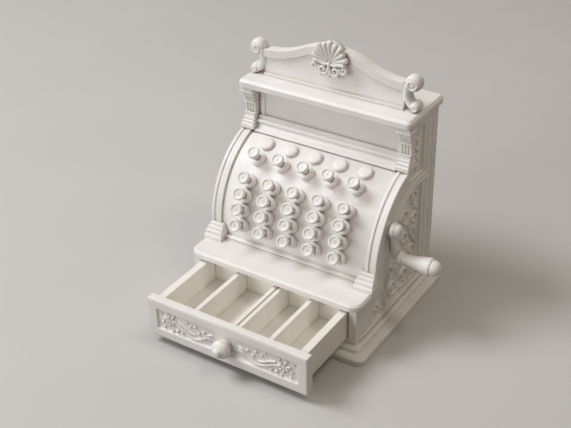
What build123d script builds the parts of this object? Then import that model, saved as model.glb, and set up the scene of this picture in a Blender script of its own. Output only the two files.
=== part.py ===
from build123d import *
import math
import os

# A table-top miniature of an old counter till: a stepped plinth, two full-height sides, a curved
# bank of keys over a pull-out cash drawer, a cap with a carved crest, and a crank on the right.
# Frame: millimetres, +Z up, +X to the right, -Y to the front. The origin is the centre of the
# plinth's underside.

os.makedirs("parts", exist_ok=True)

# ------------------------------------------------------------------ gaps
side_gap = 0.5  # drawer's walls to the sides
slide_gap = 0.3  # drawer to ledge rail and plinth
run_gap = 0.15  # drawer on its runners, key stem in its guide
seat_gap = 0.3  # stops, retaining heads and flanges at rest
bearing_gap = 0.05  # shaft in its bore, on the radius

# ------------------------------------------------------------------ plinth and body
plinth_depth = 68.2
plinth_projection = 5.5  # in front of the body and at its sides
plinth_back_projection = 1.1
plinth_slab_height = 3.0
plinth_step_projection = 2.0
plinth_step_inset = 0.55  # from the slab at the back
plinth_height = 5.0
plinth_corner_radius = 3.5
plinth_step_corner_radius = 1.75
plinth_bevel = 0.7

body_half_width = 36.4
side_thickness = 3.2
back_thickness = 2.0
back_bevel = 0.5
cap_underside = 78.0

# ------------------------------------------------------------------ sunk fields of the sides
panel_sink = 0.9
panel_frame_width = 10.0  # from the bank's curve to the field's
panel_foot_margin = 2.2
panel_back_margin = 9.5
panel_front_margin = 12.8
panel_shoulder_drop = 3.0
upper_panel_gap = 4.6
upper_panel_margin = 3.0
upper_panel_width = 10.5

# ------------------------------------------------------------------ ledge over the drawer
ledge_underside = 20.4
ledge_thickness = 2.7
ledge_projection = 1.4
ledge_corner_radius = 4.5
ledge_tongue = 4.0  # reaches back under the key bank
ledge_bevel = 0.8
rail_height = 1.0  # strip under the ledge, over the drawer
rail_depth = 2.0
rail_bevel = 0.35

# ------------------------------------------------------------------ curved key bank
bank_axis_y = 17.7
bank_axis_z = 28.4
bank_radius = 32.3
bank_thickness = 1.8
bank_top_angle = 73.0
foot_bead_height = 1.5
foot_bead_depth = 2.4
foot_bead_nose = 0.45  # how far its round nose stands out of its square back
foot_fillet_height = 0.45

band_width = 4.6  # curved pilaster over the edge of bank and side
band_thickness = 1.0
band_overhang = 0.6
band_channel_width = 1.7
band_channel_depth = 0.4

# ------------------------------------------------------------------ keys
key_columns = 5
key_pitch_share = 0.165  # of the bank's width
key_shift = -0.5
key_row_angles = [52.5, 36.0, 25.5, 15.5, 4.5]  # where each row leaves the bank
key_row_tilt_angles = [53.0, 43.0, 37.0, 31.0, 26.0]  # slope of each row's stems
key_reach = 7.0  # bank surface to cap top
key_cap_radius = 2.4
key_cap_height = 1.7
key_rim_width = 0.55
key_dish_depth = 0.5
key_stem = 2.2
key_head = 3.3
key_head_height = 0.9
key_travel = 2.8
collar_radius = 2.75
button_angle = 65.0
button_radius = 2.8
button_height = 1.7
turned_sides = 16  # flats round a small turned piece
collar_sides = 12

# ------------------------------------------------------------------ blocks, pilasters and header
block_courses = [(0.0, 1.9, 5.2), (1.9, 1.8, 4.4), (3.7, 1.2, 3.2), (4.9, 1.2, 2.0)]
block_width = 5.0
block_flare_share = 0.3  # sideways share of each course's projection
course_bevel = 0.45
pilaster_width = 4.4
pilaster_depth = 3.0
pilaster_foot = 60.6
pilaster_flare_share = 0.22
pilaster_foot_courses = [(0.0, 1.9, 3.1), (1.9, 1.3, 2.4), (3.2, 1.2, 1.6), (4.4, 1.0, 0.8)]
pilaster_flutes = 3
flute_radius = 0.42
flute_sides = 8
flute_pitch = 1.25
flute_margin = 0.4  # from the courses above and below
pilaster_head_courses = [(1.9, 1.9, 3.0), (3.8, 1.9, 1.9), (5.2, 1.4, 1.0), (7.0, 1.0, 0.5)]  # drop, height, out
header_front_y = 13.5
header_thickness = 2.0
header_frame_width = 2.2
header_frame_depth = 0.6
cornice_projection = 5.4
cornice_bead_height = 1.4
cornice_bead_nose = 0.6
cornice_cove_height = 1.9
cornice_cove_sag = 0.55
cornice_upper_projection = 3.2
cornice_upper_height = 1.3
cornice_top_projection = 1.7
cornice_top_height = 1.3

# ------------------------------------------------------------------ cap and crest
cap_thickness = 3.5
cap_overhang = 1.0
cap_front_y = 6.7
cap_back_y = 35.2
cap_corner_radius = 2.0
cap_bevel = 1.0
cap_under_bevel = 0.5
crest_half_width = 30.1
crest_thickness = 2.6
crest_centre_y = 16.8
crest_middle_height = 17.8
crest_crown_radius = 32.0
crest_turn_angle = 26.0
crest_roll_height = 3.0
crest_roll_proud = 0.9
crest_foot_height = 1.2
scroll_depth = 5.0
scroll_head_radius = 3.2
scroll_head_height = 10.9
scroll_foot_radius = 2.0
scroll_foot_reach = 4.4
scroll_waist = 3.0
scroll_waist_height = 5.45
scroll_eye_radius = 1.1
scroll_eye_proud = 0.5
shell_radius = 6.6
shell_lobes = 9
shell_lobe_radius = 1.6
lobe_sides = 10
shell_rib_height = 0.7
shell_rib_root_width = 0.7
shell_first_angle = -20.0
shell_fan_angle = 220.0
shell_base_length = 7.0
shell_base_width = 3.5
shell_depth = 3.2
shell_height = 14.2

# ------------------------------------------------------------------ drawer
drawer_open_reserve = 1.85  # from the drawer's stop to the sill, as it stands open at rest
drawer_height = 11.9
drawer_side_thickness = 3.0
drawer_inner_length = 32.3
drawer_back_thickness = 2.2
drawer_floor_thickness = 1.5
divider_drop = 0.2
single_divider = 1.8
double_divider = 1.6
divider_place_shares = [-0.52, 0.582]  # of the drawer's inner half width
double_place_share = 0.088
double_spacing = 2.3
drawer_heel_inset = 3.4

front_side_margin = 1.4  # from the front's end to the body's side
front_height = 16.8
front_thickness = 3.5
front_frame_width = 3.9
front_recess = 0.9
front_edge_bevel = 0.4
front_bevel_angle = 30
knob_height = 8.2  # above the front's lower edge
knob_radius = 3.7
knob_reach = 7.0
# Share of the reach, then share of the largest radius, along the knob's turned outline.
knob_turning_shares = [
    (0.0, 0.48),
    (0.12, 0.48),
    (0.26, 0.9),
    (0.45, 1.0),
    (0.64, 0.9),
    (0.82, 0.42),
    (1.0, 0.28),
]
spigot_radius = 0.9
spigot_length = 1.8

runner_width = 3.4
sill_depth = 2.2

# ------------------------------------------------------------------ crank
crank_angle = 34.0  # place of the crank behind the bank's curve
crank_depth = 4.1
crank_length = 13.5
crank_lean_angle = 11.5
axle_radius = 1.4
axle_flange_radius = 2.2
axle_flange_thickness = 0.8
boss_radius = 2.6
boss_height = 1.0
hub_radius = 2.5
hub_height = 3.0
hub_bevel = 0.62
arm_width = 3.0
arm_thickness = 2.0
pin_radius = 1.0
grip_length = 17.2
grip_bore_share = 0.66
pin_length_share = 0.6
grip_radius = 3.5
# Share of the length, then share of the largest radius, along the grip's turned outline.
grip_turning_shares = [
    (0.0, 0.74),
    (0.09, 0.74),
    (0.13, 0.58),
    (0.36, 0.7),
    (0.7, 1.0),
    (0.77, 0.98),
    (0.79, 0.88),
    (0.9, 0.82),
    (1.0, 0.34),
]

# ------------------------------------------------------------------ derived places
plinth_front_y = -plinth_depth / 2
plinth_back_y = plinth_depth / 2
body_front_y = plinth_front_y + plinth_projection
body_back_y = plinth_back_y - plinth_back_projection
side_inner_x = body_half_width - side_thickness
side_back_y = body_back_y - back_thickness
step_front_y = body_front_y - plinth_step_projection
ledge_top = ledge_underside + ledge_thickness
bank_front_y = bank_axis_y - bank_radius
cap_top = cap_underside + cap_thickness

sill_back_y = body_front_y + sill_depth
front_back_y = sill_back_y + drawer_open_reserve - drawer_inner_length
front_face_y = front_back_y - front_thickness
front_bottom = plinth_slab_height + slide_gap
front_top = front_bottom + front_height
drawer_top = ledge_underside - rail_height - slide_gap
drawer_bottom = drawer_top - drawer_height
runner_top = drawer_bottom - run_gap
drawer_back_y = front_back_y + drawer_inner_length
drawer_half_width = side_inner_x - side_gap
drawer_inner_half = drawer_half_width - drawer_side_thickness
drawer_floor_top = drawer_bottom + drawer_floor_thickness
knob_z = front_bottom + knob_height
front_half_width = body_half_width - front_side_margin
cap_half_width = body_half_width + cap_overhang
key_pitch = key_pitch_share * 2 * side_inner_x


def save(piece, name):
    """Label a finished piece and write it under its own name."""
    piece.part.label = name
    export_step(piece.part, f"parts/{name}.step")


def bank_point(angle, radius):
    """The point (y, z) at an angle above level, seen from the bank's axis."""
    turn = math.radians(angle)
    return (bank_axis_y - radius * math.cos(turn), bank_axis_z + radius * math.sin(turn))


def bank_plane(angle, tilt, x):
    """A plane on the bank's surface whose normal is a key's axis."""
    y, z = bank_point(angle, bank_radius)
    slope = math.radians(tilt)
    return Plane(origin=(x, y, z), x_dir=(1, 0, 0), z_dir=(0, -math.cos(slope), math.sin(slope)))


def turned(seat, rings):
    """A turned piece on a plane, through rings of (distance from the plane, radius)."""
    flat_share = math.cos(math.pi / turned_sides)  # a flat's distance from the axis, to a corner's
    with BuildPart() as turning:
        for (start, radius), (end, next_radius) in zip(rings, rings[1:]):
            with BuildSketch(seat.offset(start)):
                RegularPolygon(radius, turned_sides)
            slope = math.degrees(math.atan2((radius - next_radius) * flat_share, end - start))
            extrude(amount=end - start, taper=slope)
    return turning.part


def course(middle_x, back_y, width, depth, foot, height, stepped_side):
    """One moulding course: a block whose front and ends are bevelled on the side that steps in."""
    with BuildPart() as moulding:
        with BuildSketch(Plane.XY.offset(foot)):
            with Locations((middle_x, back_y - depth / 2)):
                Rectangle(width, depth)
        extrude(amount=height)
        rim = moulding.faces().sort_by(Axis.Z)[stepped_side].edges().sort_by(Axis.Y)[:-1]
        chamfer(rim, course_bevel)
    return moulding.part


def head_depth(angle, tilt):
    """How far behind the bank's surface a key's retaining head begins, along the key's axis."""
    lean_angle = math.radians(tilt - angle)
    board = bank_thickness / math.cos(lean_angle)
    corner = key_head / 2 * math.tan(lean_angle)
    sag = (key_head / 2) ** 2 / (2 * (bank_radius - bank_thickness))
    return board + corner + sag + seat_gap


def key_column_x(column):
    """The x of a column of keys, counted from the left."""
    return key_shift + (column - (key_columns - 1) / 2) * key_pitch


crank_y, crank_z = bank_point(crank_angle, bank_radius - crank_depth)
BOTTOM, TOP = 0, -1  # ends of a list of faces sorted upwards


# ------------------------------------------------------------------ plinth
with BuildPart() as base_plinth:
    with BuildSketch(Plane.XY):
        RectangleRounded(2 * (body_half_width + plinth_projection), plinth_depth, plinth_corner_radius)
    extrude(amount=plinth_slab_height)
    slab_top = base_plinth.faces().sort_by(Axis.Z)[-1]
    chamfer(slab_top.edges(), plinth_bevel)
    step_depth = plinth_back_y - step_front_y - plinth_step_inset
    with BuildSketch(Plane.XY.offset(plinth_slab_height)):
        with Locations((0, step_front_y + step_depth / 2)):
            RectangleRounded(
                2 * (body_half_width + plinth_step_projection), step_depth, plinth_step_corner_radius
            )
    extrude(amount=plinth_height - plinth_slab_height)
    step_top = base_plinth.faces().sort_by(Axis.Z)[-1]
    chamfer(step_top.edges(), plinth_bevel)
save(base_plinth, "base_plinth")

# ------------------------------------------------------------------ sides
arch_end_y, arch_end_z = bank_point(bank_top_angle, bank_radius)
panel_radius = bank_radius - panel_frame_width
panel_foot = plinth_height + panel_foot_margin
panel_back_y = side_back_y - panel_back_margin
panel_front_y = body_front_y + panel_front_margin
panel_shoulder = ledge_underside - panel_shoulder_drop
upper_panel_foot = bank_axis_z + panel_radius + upper_panel_gap
upper_panel_top = cap_underside - upper_panel_margin


def side_blank(inner_x):
    """The wall of one side, from the plinth to the cap, with its arched front edge."""
    with BuildPart() as blank:
        with BuildSketch(Plane.YZ.offset(inner_x)):
            with BuildLine():
                Polyline(
                    (bank_front_y, bank_axis_z),
                    (bank_front_y, ledge_underside),
                    (body_front_y, ledge_underside),
                    (body_front_y, plinth_height),
                    (side_back_y, plinth_height),
                    (side_back_y, cap_underside),
                    (header_front_y, cap_underside),
                    (header_front_y, pilaster_foot),
                    (arch_end_y, pilaster_foot),
                    (arch_end_y, arch_end_z),
                )
                CenterArc((bank_axis_y, bank_axis_z), bank_radius, 180 - bank_top_angle, bank_top_angle)
            make_face()
        extrude(amount=side_thickness)
    return blank.part


def panel_sketch(plane):
    """The sunk fields of a side: a quarter arch with a foot, and a narrow panel above it."""
    with BuildSketch(plane) as field:
        with BuildLine():
            Polyline(
                (bank_axis_y, bank_axis_z + panel_radius),
                (panel_back_y, bank_axis_z + panel_radius),
                (panel_back_y, panel_foot),
                (panel_front_y, panel_foot),
                (panel_front_y, panel_shoulder),
                (bank_axis_y - panel_radius, panel_shoulder),
                (bank_axis_y - panel_radius, bank_axis_z),
            )
            CenterArc((bank_axis_y, bank_axis_z), panel_radius, 90, 90)
        make_face()
        upper_height = upper_panel_top - upper_panel_foot
        with Locations((panel_back_y - upper_panel_width / 2, upper_panel_foot + upper_height / 2)):
            Rectangle(upper_panel_width, upper_height)
    return field.sketch


for side_name, facing in (("left_side", -1), ("right_side", 1)):
    outer_plane = Plane.YZ.offset(facing * body_half_width)
    with BuildPart() as side_panel:
        add(side_blank(side_inner_x if facing > 0 else -body_half_width))
        extrude(panel_sketch(outer_plane), amount=-facing * panel_sink, mode=Mode.SUBTRACT)
        if facing > 0:
            with BuildSketch(outer_plane):
                with Locations((crank_y, crank_z)):
                    Circle(boss_radius)
            extrude(amount=boss_height)
            with BuildSketch(outer_plane.offset(boss_height)):
                with Locations((crank_y, crank_z)):
                    Circle(axle_radius + bearing_gap)
            extrude(amount=-(boss_height + side_thickness), mode=Mode.SUBTRACT)
    save(side_panel, side_name)

# ------------------------------------------------------------------ back panel
with BuildPart() as back_panel:
    with BuildSketch(Plane.XZ.offset(-body_back_y)):
        with Locations((0, (plinth_height + cap_underside) / 2)):
            Rectangle(2 * body_half_width, cap_underside - plinth_height)
    extrude(amount=back_thickness)
    chamfer(back_panel.edges().filter_by(Axis.Z).group_by(Axis.Y)[-1], back_bevel)
save(back_panel, "back_panel")

# ------------------------------------------------------------------ sill, ledge and rail
with BuildPart() as front_sill:
    with BuildSketch(Plane.XY.offset(plinth_height)):
        with Locations((0, body_front_y + sill_depth / 2)):
            Rectangle(2 * side_inner_x, sill_depth)
    extrude(amount=runner_top - plinth_height)
save(front_sill, "front_sill")

with BuildPart() as ledge:
    ledge_front_y = body_front_y - ledge_projection
    ledge_depth = bank_front_y - ledge_front_y
    with BuildSketch(Plane.XY.offset(ledge_underside)) as ledge_outline:
        with Locations((0, ledge_front_y + ledge_depth / 2)):
            Rectangle(2 * (body_half_width + ledge_projection), ledge_depth)
        fillet(ledge_outline.vertices().group_by(Axis.Y)[0], ledge_corner_radius)
    extrude(amount=ledge_thickness)
    front_rim = ledge.faces().sort_by(Axis.Z)[-1].edges().sort_by(Axis.Y)[:-1]
    chamfer(front_rim, ledge_bevel)
    with BuildSketch(Plane.XY.offset(ledge_underside)):
        with Locations((0, bank_front_y + ledge_tongue / 2)):
            Rectangle(2 * side_inner_x, ledge_tongue)
    extrude(amount=ledge_thickness)
save(ledge, "ledge")

with BuildPart() as ledge_rail:
    with BuildSketch(Plane.XY.offset(ledge_underside)):
        with Locations((0, body_front_y + rail_depth / 2)):
            Rectangle(2 * side_inner_x, rail_depth)
    extrude(amount=-rail_height)
    chamfer(ledge_rail.edges().filter_by(Axis.X).group_by(Axis.Y)[0].sort_by(Axis.Z)[0], rail_bevel)
save(ledge_rail, "ledge_rail")

# ------------------------------------------------------------------ key bank
# The bank is a barrel-curved board between the sides. Each key has its own collar, which leans with
# the key's stem rather than standing square to the board, and a square guide through both.
collar_top = key_reach - key_cap_height - key_travel - seat_gap
guide_width = key_stem + 2 * run_gap
with BuildPart() as key_bank:
    inner_radius = bank_radius - bank_thickness
    with BuildSketch(Plane.YZ.offset(-side_inner_x)):
        with BuildLine():
            CenterArc((bank_axis_y, bank_axis_z), bank_radius, 180 - bank_top_angle, bank_top_angle)
            CenterArc((bank_axis_y, bank_axis_z), inner_radius, 180 - bank_top_angle, bank_top_angle)
            Line(bank_point(bank_top_angle, bank_radius), bank_point(bank_top_angle, inner_radius))
            Polyline(
                bank_point(0, bank_radius),
                (bank_front_y, ledge_top),
                (bank_front_y + bank_thickness, ledge_top),
                bank_point(0, inner_radius),
            )
        make_face()
    extrude(amount=2 * side_inner_x)
    for row_angle, row_tilt in zip(key_row_angles, key_row_tilt_angles):
        for column in range(key_columns):
            key_seat = bank_plane(row_angle, row_tilt, key_column_x(column))
            with BuildSketch(key_seat.offset(collar_top)):
                RegularPolygon(collar_radius, collar_sides)
            extrude(amount=-(collar_top + bank_thickness / 2))
    for row_angle, row_tilt in zip(key_row_angles, key_row_tilt_angles):
        for column in range(key_columns):
            key_seat = bank_plane(row_angle, row_tilt, key_column_x(column))
            with BuildSketch(key_seat.offset(collar_top)):
                Rectangle(guide_width, guide_width)
            extrude(amount=-(collar_top + 3 * bank_thickness), mode=Mode.SUBTRACT)
save(key_bank, "key_bank")

foot_inner_x = body_half_width - block_width - block_flare_share * block_courses[0][2]
with BuildPart() as bank_foot:
    with BuildSketch(Plane.YZ.offset(-foot_inner_x)):
        with BuildLine():
            Polyline(
                (bank_front_y - foot_bead_height, ledge_top + foot_bead_height),
                (bank_front_y, ledge_top + foot_bead_height),
                (bank_front_y, ledge_top),
                (bank_front_y - foot_bead_depth, ledge_top),
                (bank_front_y - foot_bead_depth, ledge_top + foot_fillet_height),
                (bank_front_y - foot_bead_height, ledge_top + foot_fillet_height),
            )
            ThreePointArc(
                (bank_front_y - foot_bead_height, ledge_top + foot_bead_height),
                (
                    bank_front_y - foot_bead_height - foot_bead_nose,
                    ledge_top + (foot_bead_height + foot_fillet_height) / 2,
                ),
                (bank_front_y - foot_bead_height, ledge_top + foot_fillet_height),
            )
        make_face()
    extrude(amount=2 * foot_inner_x)
save(bank_foot, "bank_foot")

# Flat round buttons in the row above the keys.
with BuildPart() as bank_buttons:
    for column in range(key_columns):
        with BuildSketch(bank_plane(button_angle, button_angle, key_column_x(column)).offset(button_height)):
            RegularPolygon(button_radius, collar_sides)
        extrude(amount=-2 * button_height)
    with BuildSketch(Plane.YZ.offset(-side_inner_x)):
        with Locations((bank_axis_y, bank_axis_z)):
            Circle(bank_radius)
    extrude(amount=2 * side_inner_x, mode=Mode.SUBTRACT)
save(bank_buttons, "bank_buttons")

# ------------------------------------------------------------------ curved bands over the bank's edges
band_foot_angle = math.degrees(math.asin((ledge_top + 6.1 - bank_axis_z) / bank_radius))
for band_name, facing in (("arch_band_left", -1), ("arch_band_right", 1)):
    band_outer_x = body_half_width + band_overhang
    band_middle_x = facing * (band_outer_x - band_width / 2)
    bank_axis = Axis((0, bank_axis_y, bank_axis_z), (1, 0, 0))
    radial_plane = Plane(
        origin=(0, bank_axis_y, bank_axis_z),
        x_dir=(1, 0, 0),
        z_dir=(0, -math.sin(math.radians(band_foot_angle)), -math.cos(math.radians(band_foot_angle))),
    )
    with BuildPart() as arch_band:
        with BuildSketch(radial_plane):
            with Locations((band_middle_x, bank_radius + band_thickness / 2)):
                Rectangle(band_width, band_thickness)
            with Locations((band_middle_x, bank_radius + band_thickness - band_channel_depth / 2)):
                Rectangle(band_channel_width, band_channel_depth, mode=Mode.SUBTRACT)
        revolve(axis=bank_axis, revolution_arc=-(bank_top_angle - band_foot_angle))
    save(arch_band, band_name)

# ------------------------------------------------------------------ foot blocks and pilasters
for block_name, facing in (("foot_block_left", -1), ("foot_block_right", 1)):
    with BuildPart() as foot_block:
        block_x = facing * (body_half_width - block_width / 2)
        for rise, height, projection in block_courses:
            spread = block_flare_share * projection
            foot = ledge_top + rise
            add(course(block_x, bank_front_y, block_width + 2 * spread, projection, foot, height, TOP))
    save(foot_block, block_name)

pilaster_height = cap_underside - pilaster_foot
flute_foot = pilaster_foot + pilaster_foot_courses[-1][0] + pilaster_foot_courses[-1][1] + flute_margin
flute_top = cap_underside - pilaster_head_courses[-1][0] - flute_margin
for pilaster_name, facing in (("pilaster_left", -1), ("pilaster_right", 1)):
    with BuildPart() as pilaster:
        pilaster_x = facing * (body_half_width - pilaster_width / 2)
        with BuildSketch(Plane.XY.offset(pilaster_foot)):
            with Locations((pilaster_x, header_front_y - pilaster_depth / 2)):
                Rectangle(pilaster_width, pilaster_depth)
        extrude(amount=pilaster_height)
        for rise, height, projection in pilaster_foot_courses:
            width = pilaster_width + 2 * pilaster_flare_share * projection
            depth = pilaster_depth + projection
            add(course(pilaster_x, header_front_y, width, depth, pilaster_foot + rise, height, TOP))
        for drop, height, projection in pilaster_head_courses:
            width = pilaster_width + 2 * pilaster_flare_share * projection
            depth = pilaster_depth + projection
            add(course(pilaster_x, header_front_y, width, depth, cap_underside - drop, height, BOTTOM))
        with BuildSketch(Plane.XY.offset(flute_foot)):
            with Locations((pilaster_x, header_front_y - pilaster_depth)):
                with GridLocations(flute_pitch, 0, pilaster_flutes, 1):
                    RegularPolygon(flute_radius, flute_sides)
        extrude(amount=flute_top - flute_foot, mode=Mode.SUBTRACT)
    save(pilaster, pilaster_name)

# ------------------------------------------------------------------ header panel and cornice
with BuildPart() as header_panel:
    header_foot = arch_end_z
    header_height = cap_underside - header_foot
    with BuildSketch(Plane.XZ.offset(-(header_front_y + header_thickness))):
        with Locations((0, header_foot + header_height / 2)):
            Rectangle(2 * side_inner_x, header_height)
    extrude(amount=header_thickness)
    inner_half = body_half_width - pilaster_width - pilaster_flare_share * pilaster_foot_courses[0][2]
    with BuildSketch(Plane.XZ.offset(-header_front_y)):
        with Locations((0, header_foot + header_height / 2)):
            Rectangle(2 * inner_half, header_height)
            Rectangle(
                2 * (inner_half - header_frame_width),
                header_height - header_frame_width,
                mode=Mode.SUBTRACT,
            )
    extrude(amount=header_frame_depth)
save(header_panel, "header_panel")

with BuildPart() as bank_cornice:
    bead_y = header_front_y - cornice_projection + cornice_bead_nose
    upper_y = header_front_y - cornice_upper_projection + cornice_bead_nose
    top_y = header_front_y - cornice_top_projection
    back_y = header_front_y - header_frame_depth
    bead_top = arch_end_z + cornice_bead_height
    cove_top = bead_top + cornice_cove_height
    upper_top = cove_top + cornice_upper_height
    cornice_top = upper_top + cornice_top_height
    with BuildSketch(Plane.YZ.offset(-inner_half)):
        with BuildLine():
            Line((back_y, arch_end_z), (bead_y, arch_end_z))
            ThreePointArc(
                (bead_y, arch_end_z),
                (bead_y - cornice_bead_nose, arch_end_z + cornice_bead_height / 2),
                (bead_y, bead_top),
            )
            SagittaArc((bead_y, bead_top), (upper_y, cove_top), -cornice_cove_sag)
            ThreePointArc(
                (upper_y, cove_top),
                (upper_y - cornice_bead_nose, cove_top + cornice_upper_height / 2),
                (upper_y, upper_top),
            )
            Polyline((upper_y, upper_top), (top_y, upper_top), (top_y, cornice_top), (back_y, cornice_top))
            Line((back_y, cornice_top), (back_y, arch_end_z))
        make_face()
    extrude(amount=2 * inner_half)
save(bank_cornice, "bank_cornice")

# ------------------------------------------------------------------ cap
with BuildPart() as cap_slab:
    cap_depth = cap_back_y - cap_front_y
    with BuildSketch(Plane.XY.offset(cap_underside)):
        with Locations((0, cap_front_y + cap_depth / 2)):
            RectangleRounded(2 * cap_half_width, cap_depth, cap_corner_radius)
    extrude(amount=cap_thickness)
    chamfer(cap_slab.faces().sort_by(Axis.Z)[-1].edges(), cap_bevel)
    chamfer(cap_slab.faces().sort_by(Axis.Z)[0].edges(), cap_under_bevel)
save(cap_slab, "cap_slab")

# ------------------------------------------------------------------ crest
crest_turn = math.radians(crest_turn_angle)
crest_sweep_radius = crest_half_width / math.sin(crest_turn) - crest_crown_radius
crest_end_height = crest_middle_height - (crest_crown_radius + crest_sweep_radius) * (1 - math.cos(crest_turn))


def crest_edge(drop):
    """The serpentine line a given drop under the crest's top edge, as three tangent arcs."""
    start = (-crest_half_width, crest_end_height - drop)
    left = JernArc(start, (1, 0), crest_sweep_radius + drop, crest_turn_angle)
    crown = JernArc(left @ 1, left % 1, crest_crown_radius - drop, -2 * crest_turn_angle)
    return JernArc(crown @ 1, crown % 1, crest_sweep_radius + drop, crest_turn_angle)


crest_back_plane = Plane(
    origin=(0, crest_centre_y + crest_thickness / 2, cap_top), x_dir=(1, 0, 0), z_dir=(0, -1, 0)
)
with BuildPart() as crest_board:
    with BuildSketch(crest_back_plane):
        with BuildLine():
            crest_edge(0)
            Polyline(
                (crest_half_width, crest_end_height),
                (crest_half_width, 0),
                (-crest_half_width, 0),
                (-crest_half_width, crest_end_height),
            )
        make_face()
    extrude(amount=crest_thickness)
    with BuildSketch(crest_back_plane.offset(-crest_roll_proud)):
        with BuildLine():
            crest_edge(0)
            crest_edge(crest_roll_height)
            for end_x in (-crest_half_width, crest_half_width):
                Line((end_x, crest_end_height), (end_x, crest_end_height - crest_roll_height))
        make_face()
    extrude(amount=crest_thickness + 2 * crest_roll_proud)
    with BuildSketch(crest_back_plane):
        with Locations((0, crest_foot_height / 2)):
            Rectangle(2 * crest_half_width, crest_foot_height)
    extrude(amount=crest_thickness + crest_roll_proud)
save(crest_board, "crest_board")

with BuildPart() as crest_shell:
    shell_centre_z = cap_top + shell_height
    shell_plane = Plane(
        origin=(0, crest_centre_y - crest_thickness / 2 - crest_roll_proud, shell_centre_z),
        x_dir=(1, 0, 0),
        z_dir=(0, -1, 0),
    )
    lobe_ring = shell_radius - shell_lobe_radius / 2
    rib_half_width = 0.8 * shell_lobe_radius
    rib_angle = math.degrees(math.atan2(lobe_ring, rib_half_width - shell_rib_root_width / 2))
    with BuildSketch(shell_plane):
        Circle(lobe_ring)
    extrude(amount=shell_depth - crest_roll_proud - shell_rib_height)
    with BuildSketch(shell_plane):
        with PolarLocations(lobe_ring, shell_lobes, shell_first_angle, shell_fan_angle):
            RegularPolygon(shell_lobe_radius, lobe_sides)
        with PolarLocations(lobe_ring / 2, shell_lobes, shell_first_angle, shell_fan_angle):
            with Locations(Rotation(0, 0, 90)):
                Trapezoid(2 * rib_half_width, lobe_ring, rib_angle)
    extrude(amount=shell_depth - crest_roll_proud)
    with BuildSketch(shell_plane):
        with Locations((0, -shell_radius + shell_lobe_radius)):
            SlotOverall(shell_base_length, shell_base_width)
    extrude(amount=shell_depth)
save(crest_shell, "crest_shell")

for scroll_name, facing in (("crest_scroll_left", -1), ("crest_scroll_right", 1)):
    scroll_plane = Plane(
        origin=(0, crest_centre_y + scroll_depth / 2, cap_top), x_dir=(1, 0, 0), z_dir=(0, -1, 0)
    )
    with BuildPart() as crest_scroll:
        head_x = facing * (crest_half_width + scroll_head_radius)
        foot_x = facing * (crest_half_width + scroll_foot_reach)
        with BuildSketch(scroll_plane):
            with Locations((head_x, scroll_head_height)):
                Circle(scroll_head_radius)
            with Locations((foot_x, scroll_foot_radius)):
                Circle(scroll_foot_radius)
            with BuildLine():
                Polyline(
                    (facing * crest_half_width, scroll_head_height),
                    (facing * crest_half_width, 0),
                    (foot_x, 0),
                    (foot_x, scroll_foot_radius),
                )
                ThreePointArc(
                    (foot_x, scroll_foot_radius),
                    (facing * (crest_half_width + scroll_waist), scroll_waist_height),
                    (head_x, scroll_head_height),
                )
                Line((head_x, scroll_head_height), (facing * crest_half_width, scroll_head_height))
            make_face()
        extrude(amount=scroll_depth)
        with BuildSketch(scroll_plane.offset(-scroll_eye_proud)):
            with Locations((head_x, scroll_head_height)):
                RegularPolygon(scroll_eye_radius, collar_sides)
        extrude(amount=scroll_depth + 2 * scroll_eye_proud)
    save(crest_scroll, scroll_name)

# ------------------------------------------------------------------ drawer
with BuildPart() as drawer_runners:
    runner_start_y = sill_back_y
    with BuildSketch(Plane.XY.offset(plinth_height)):
        for facing in (-1, 1):
            runner_x = facing * (side_inner_x - runner_width / 2)
            with Locations((runner_x, (runner_start_y + side_back_y) / 2)):
                Rectangle(runner_width, side_back_y - runner_start_y)
    extrude(amount=runner_top - plinth_height)
save(drawer_runners, "drawer_runners")

with BuildPart() as drawer_front:
    front_plane = Plane(
        origin=(0, front_back_y, front_bottom + front_height / 2), x_dir=(1, 0, 0), z_dir=(0, -1, 0)
    )
    with BuildSketch(front_plane):
        Rectangle(2 * front_half_width, front_height)
    extrude(amount=front_thickness)
    chamfer(drawer_front.faces().sort_by(Axis.Y)[0].edges(), front_edge_bevel)
    with BuildSketch(front_plane.offset(front_thickness)):
        Rectangle(2 * (front_half_width - front_frame_width), front_height - 2 * front_frame_width)
    extrude(amount=-front_recess, mode=Mode.SUBTRACT, taper=front_bevel_angle)
    with BuildSketch(front_plane):
        with Locations((0, knob_z - front_bottom - front_height / 2)):
            Circle(spigot_radius)
    extrude(amount=front_thickness, mode=Mode.SUBTRACT)
save(drawer_front, "drawer_front")

with BuildPart() as drawer_knob:
    knob_seat = Plane(
        origin=(0, front_face_y + front_recess, knob_z), x_dir=(1, 0, 0), z_dir=(0, -1, 0)
    )
    add(turned(knob_seat, [(s * knob_reach, r * knob_radius) for s, r in knob_turning_shares]))
    with BuildSketch(knob_seat):
        Circle(spigot_radius)
    extrude(amount=-spigot_length)
save(drawer_knob, "drawer_knob")

drawer_total_length = drawer_inner_length + drawer_back_thickness
for wall_name, facing in (("drawer_left_wall", -1), ("drawer_right_wall", 1)):
    with BuildPart() as drawer_wall:
        with BuildSketch(Plane.XY.offset(drawer_bottom)):
            wall_x = facing * (drawer_half_width - drawer_side_thickness / 2)
            with Locations((wall_x, front_back_y + drawer_total_length / 2)):
                Rectangle(drawer_side_thickness, drawer_total_length)
        extrude(amount=drawer_height)
    save(drawer_wall, wall_name)

with BuildPart() as drawer_floor:
    with BuildSketch(Plane.XY.offset(drawer_bottom)):
        with Locations((0, front_back_y + drawer_inner_length / 2)):
            Rectangle(2 * drawer_inner_half, drawer_inner_length)
    extrude(amount=drawer_floor_thickness)
save(drawer_floor, "drawer_floor")

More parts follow.
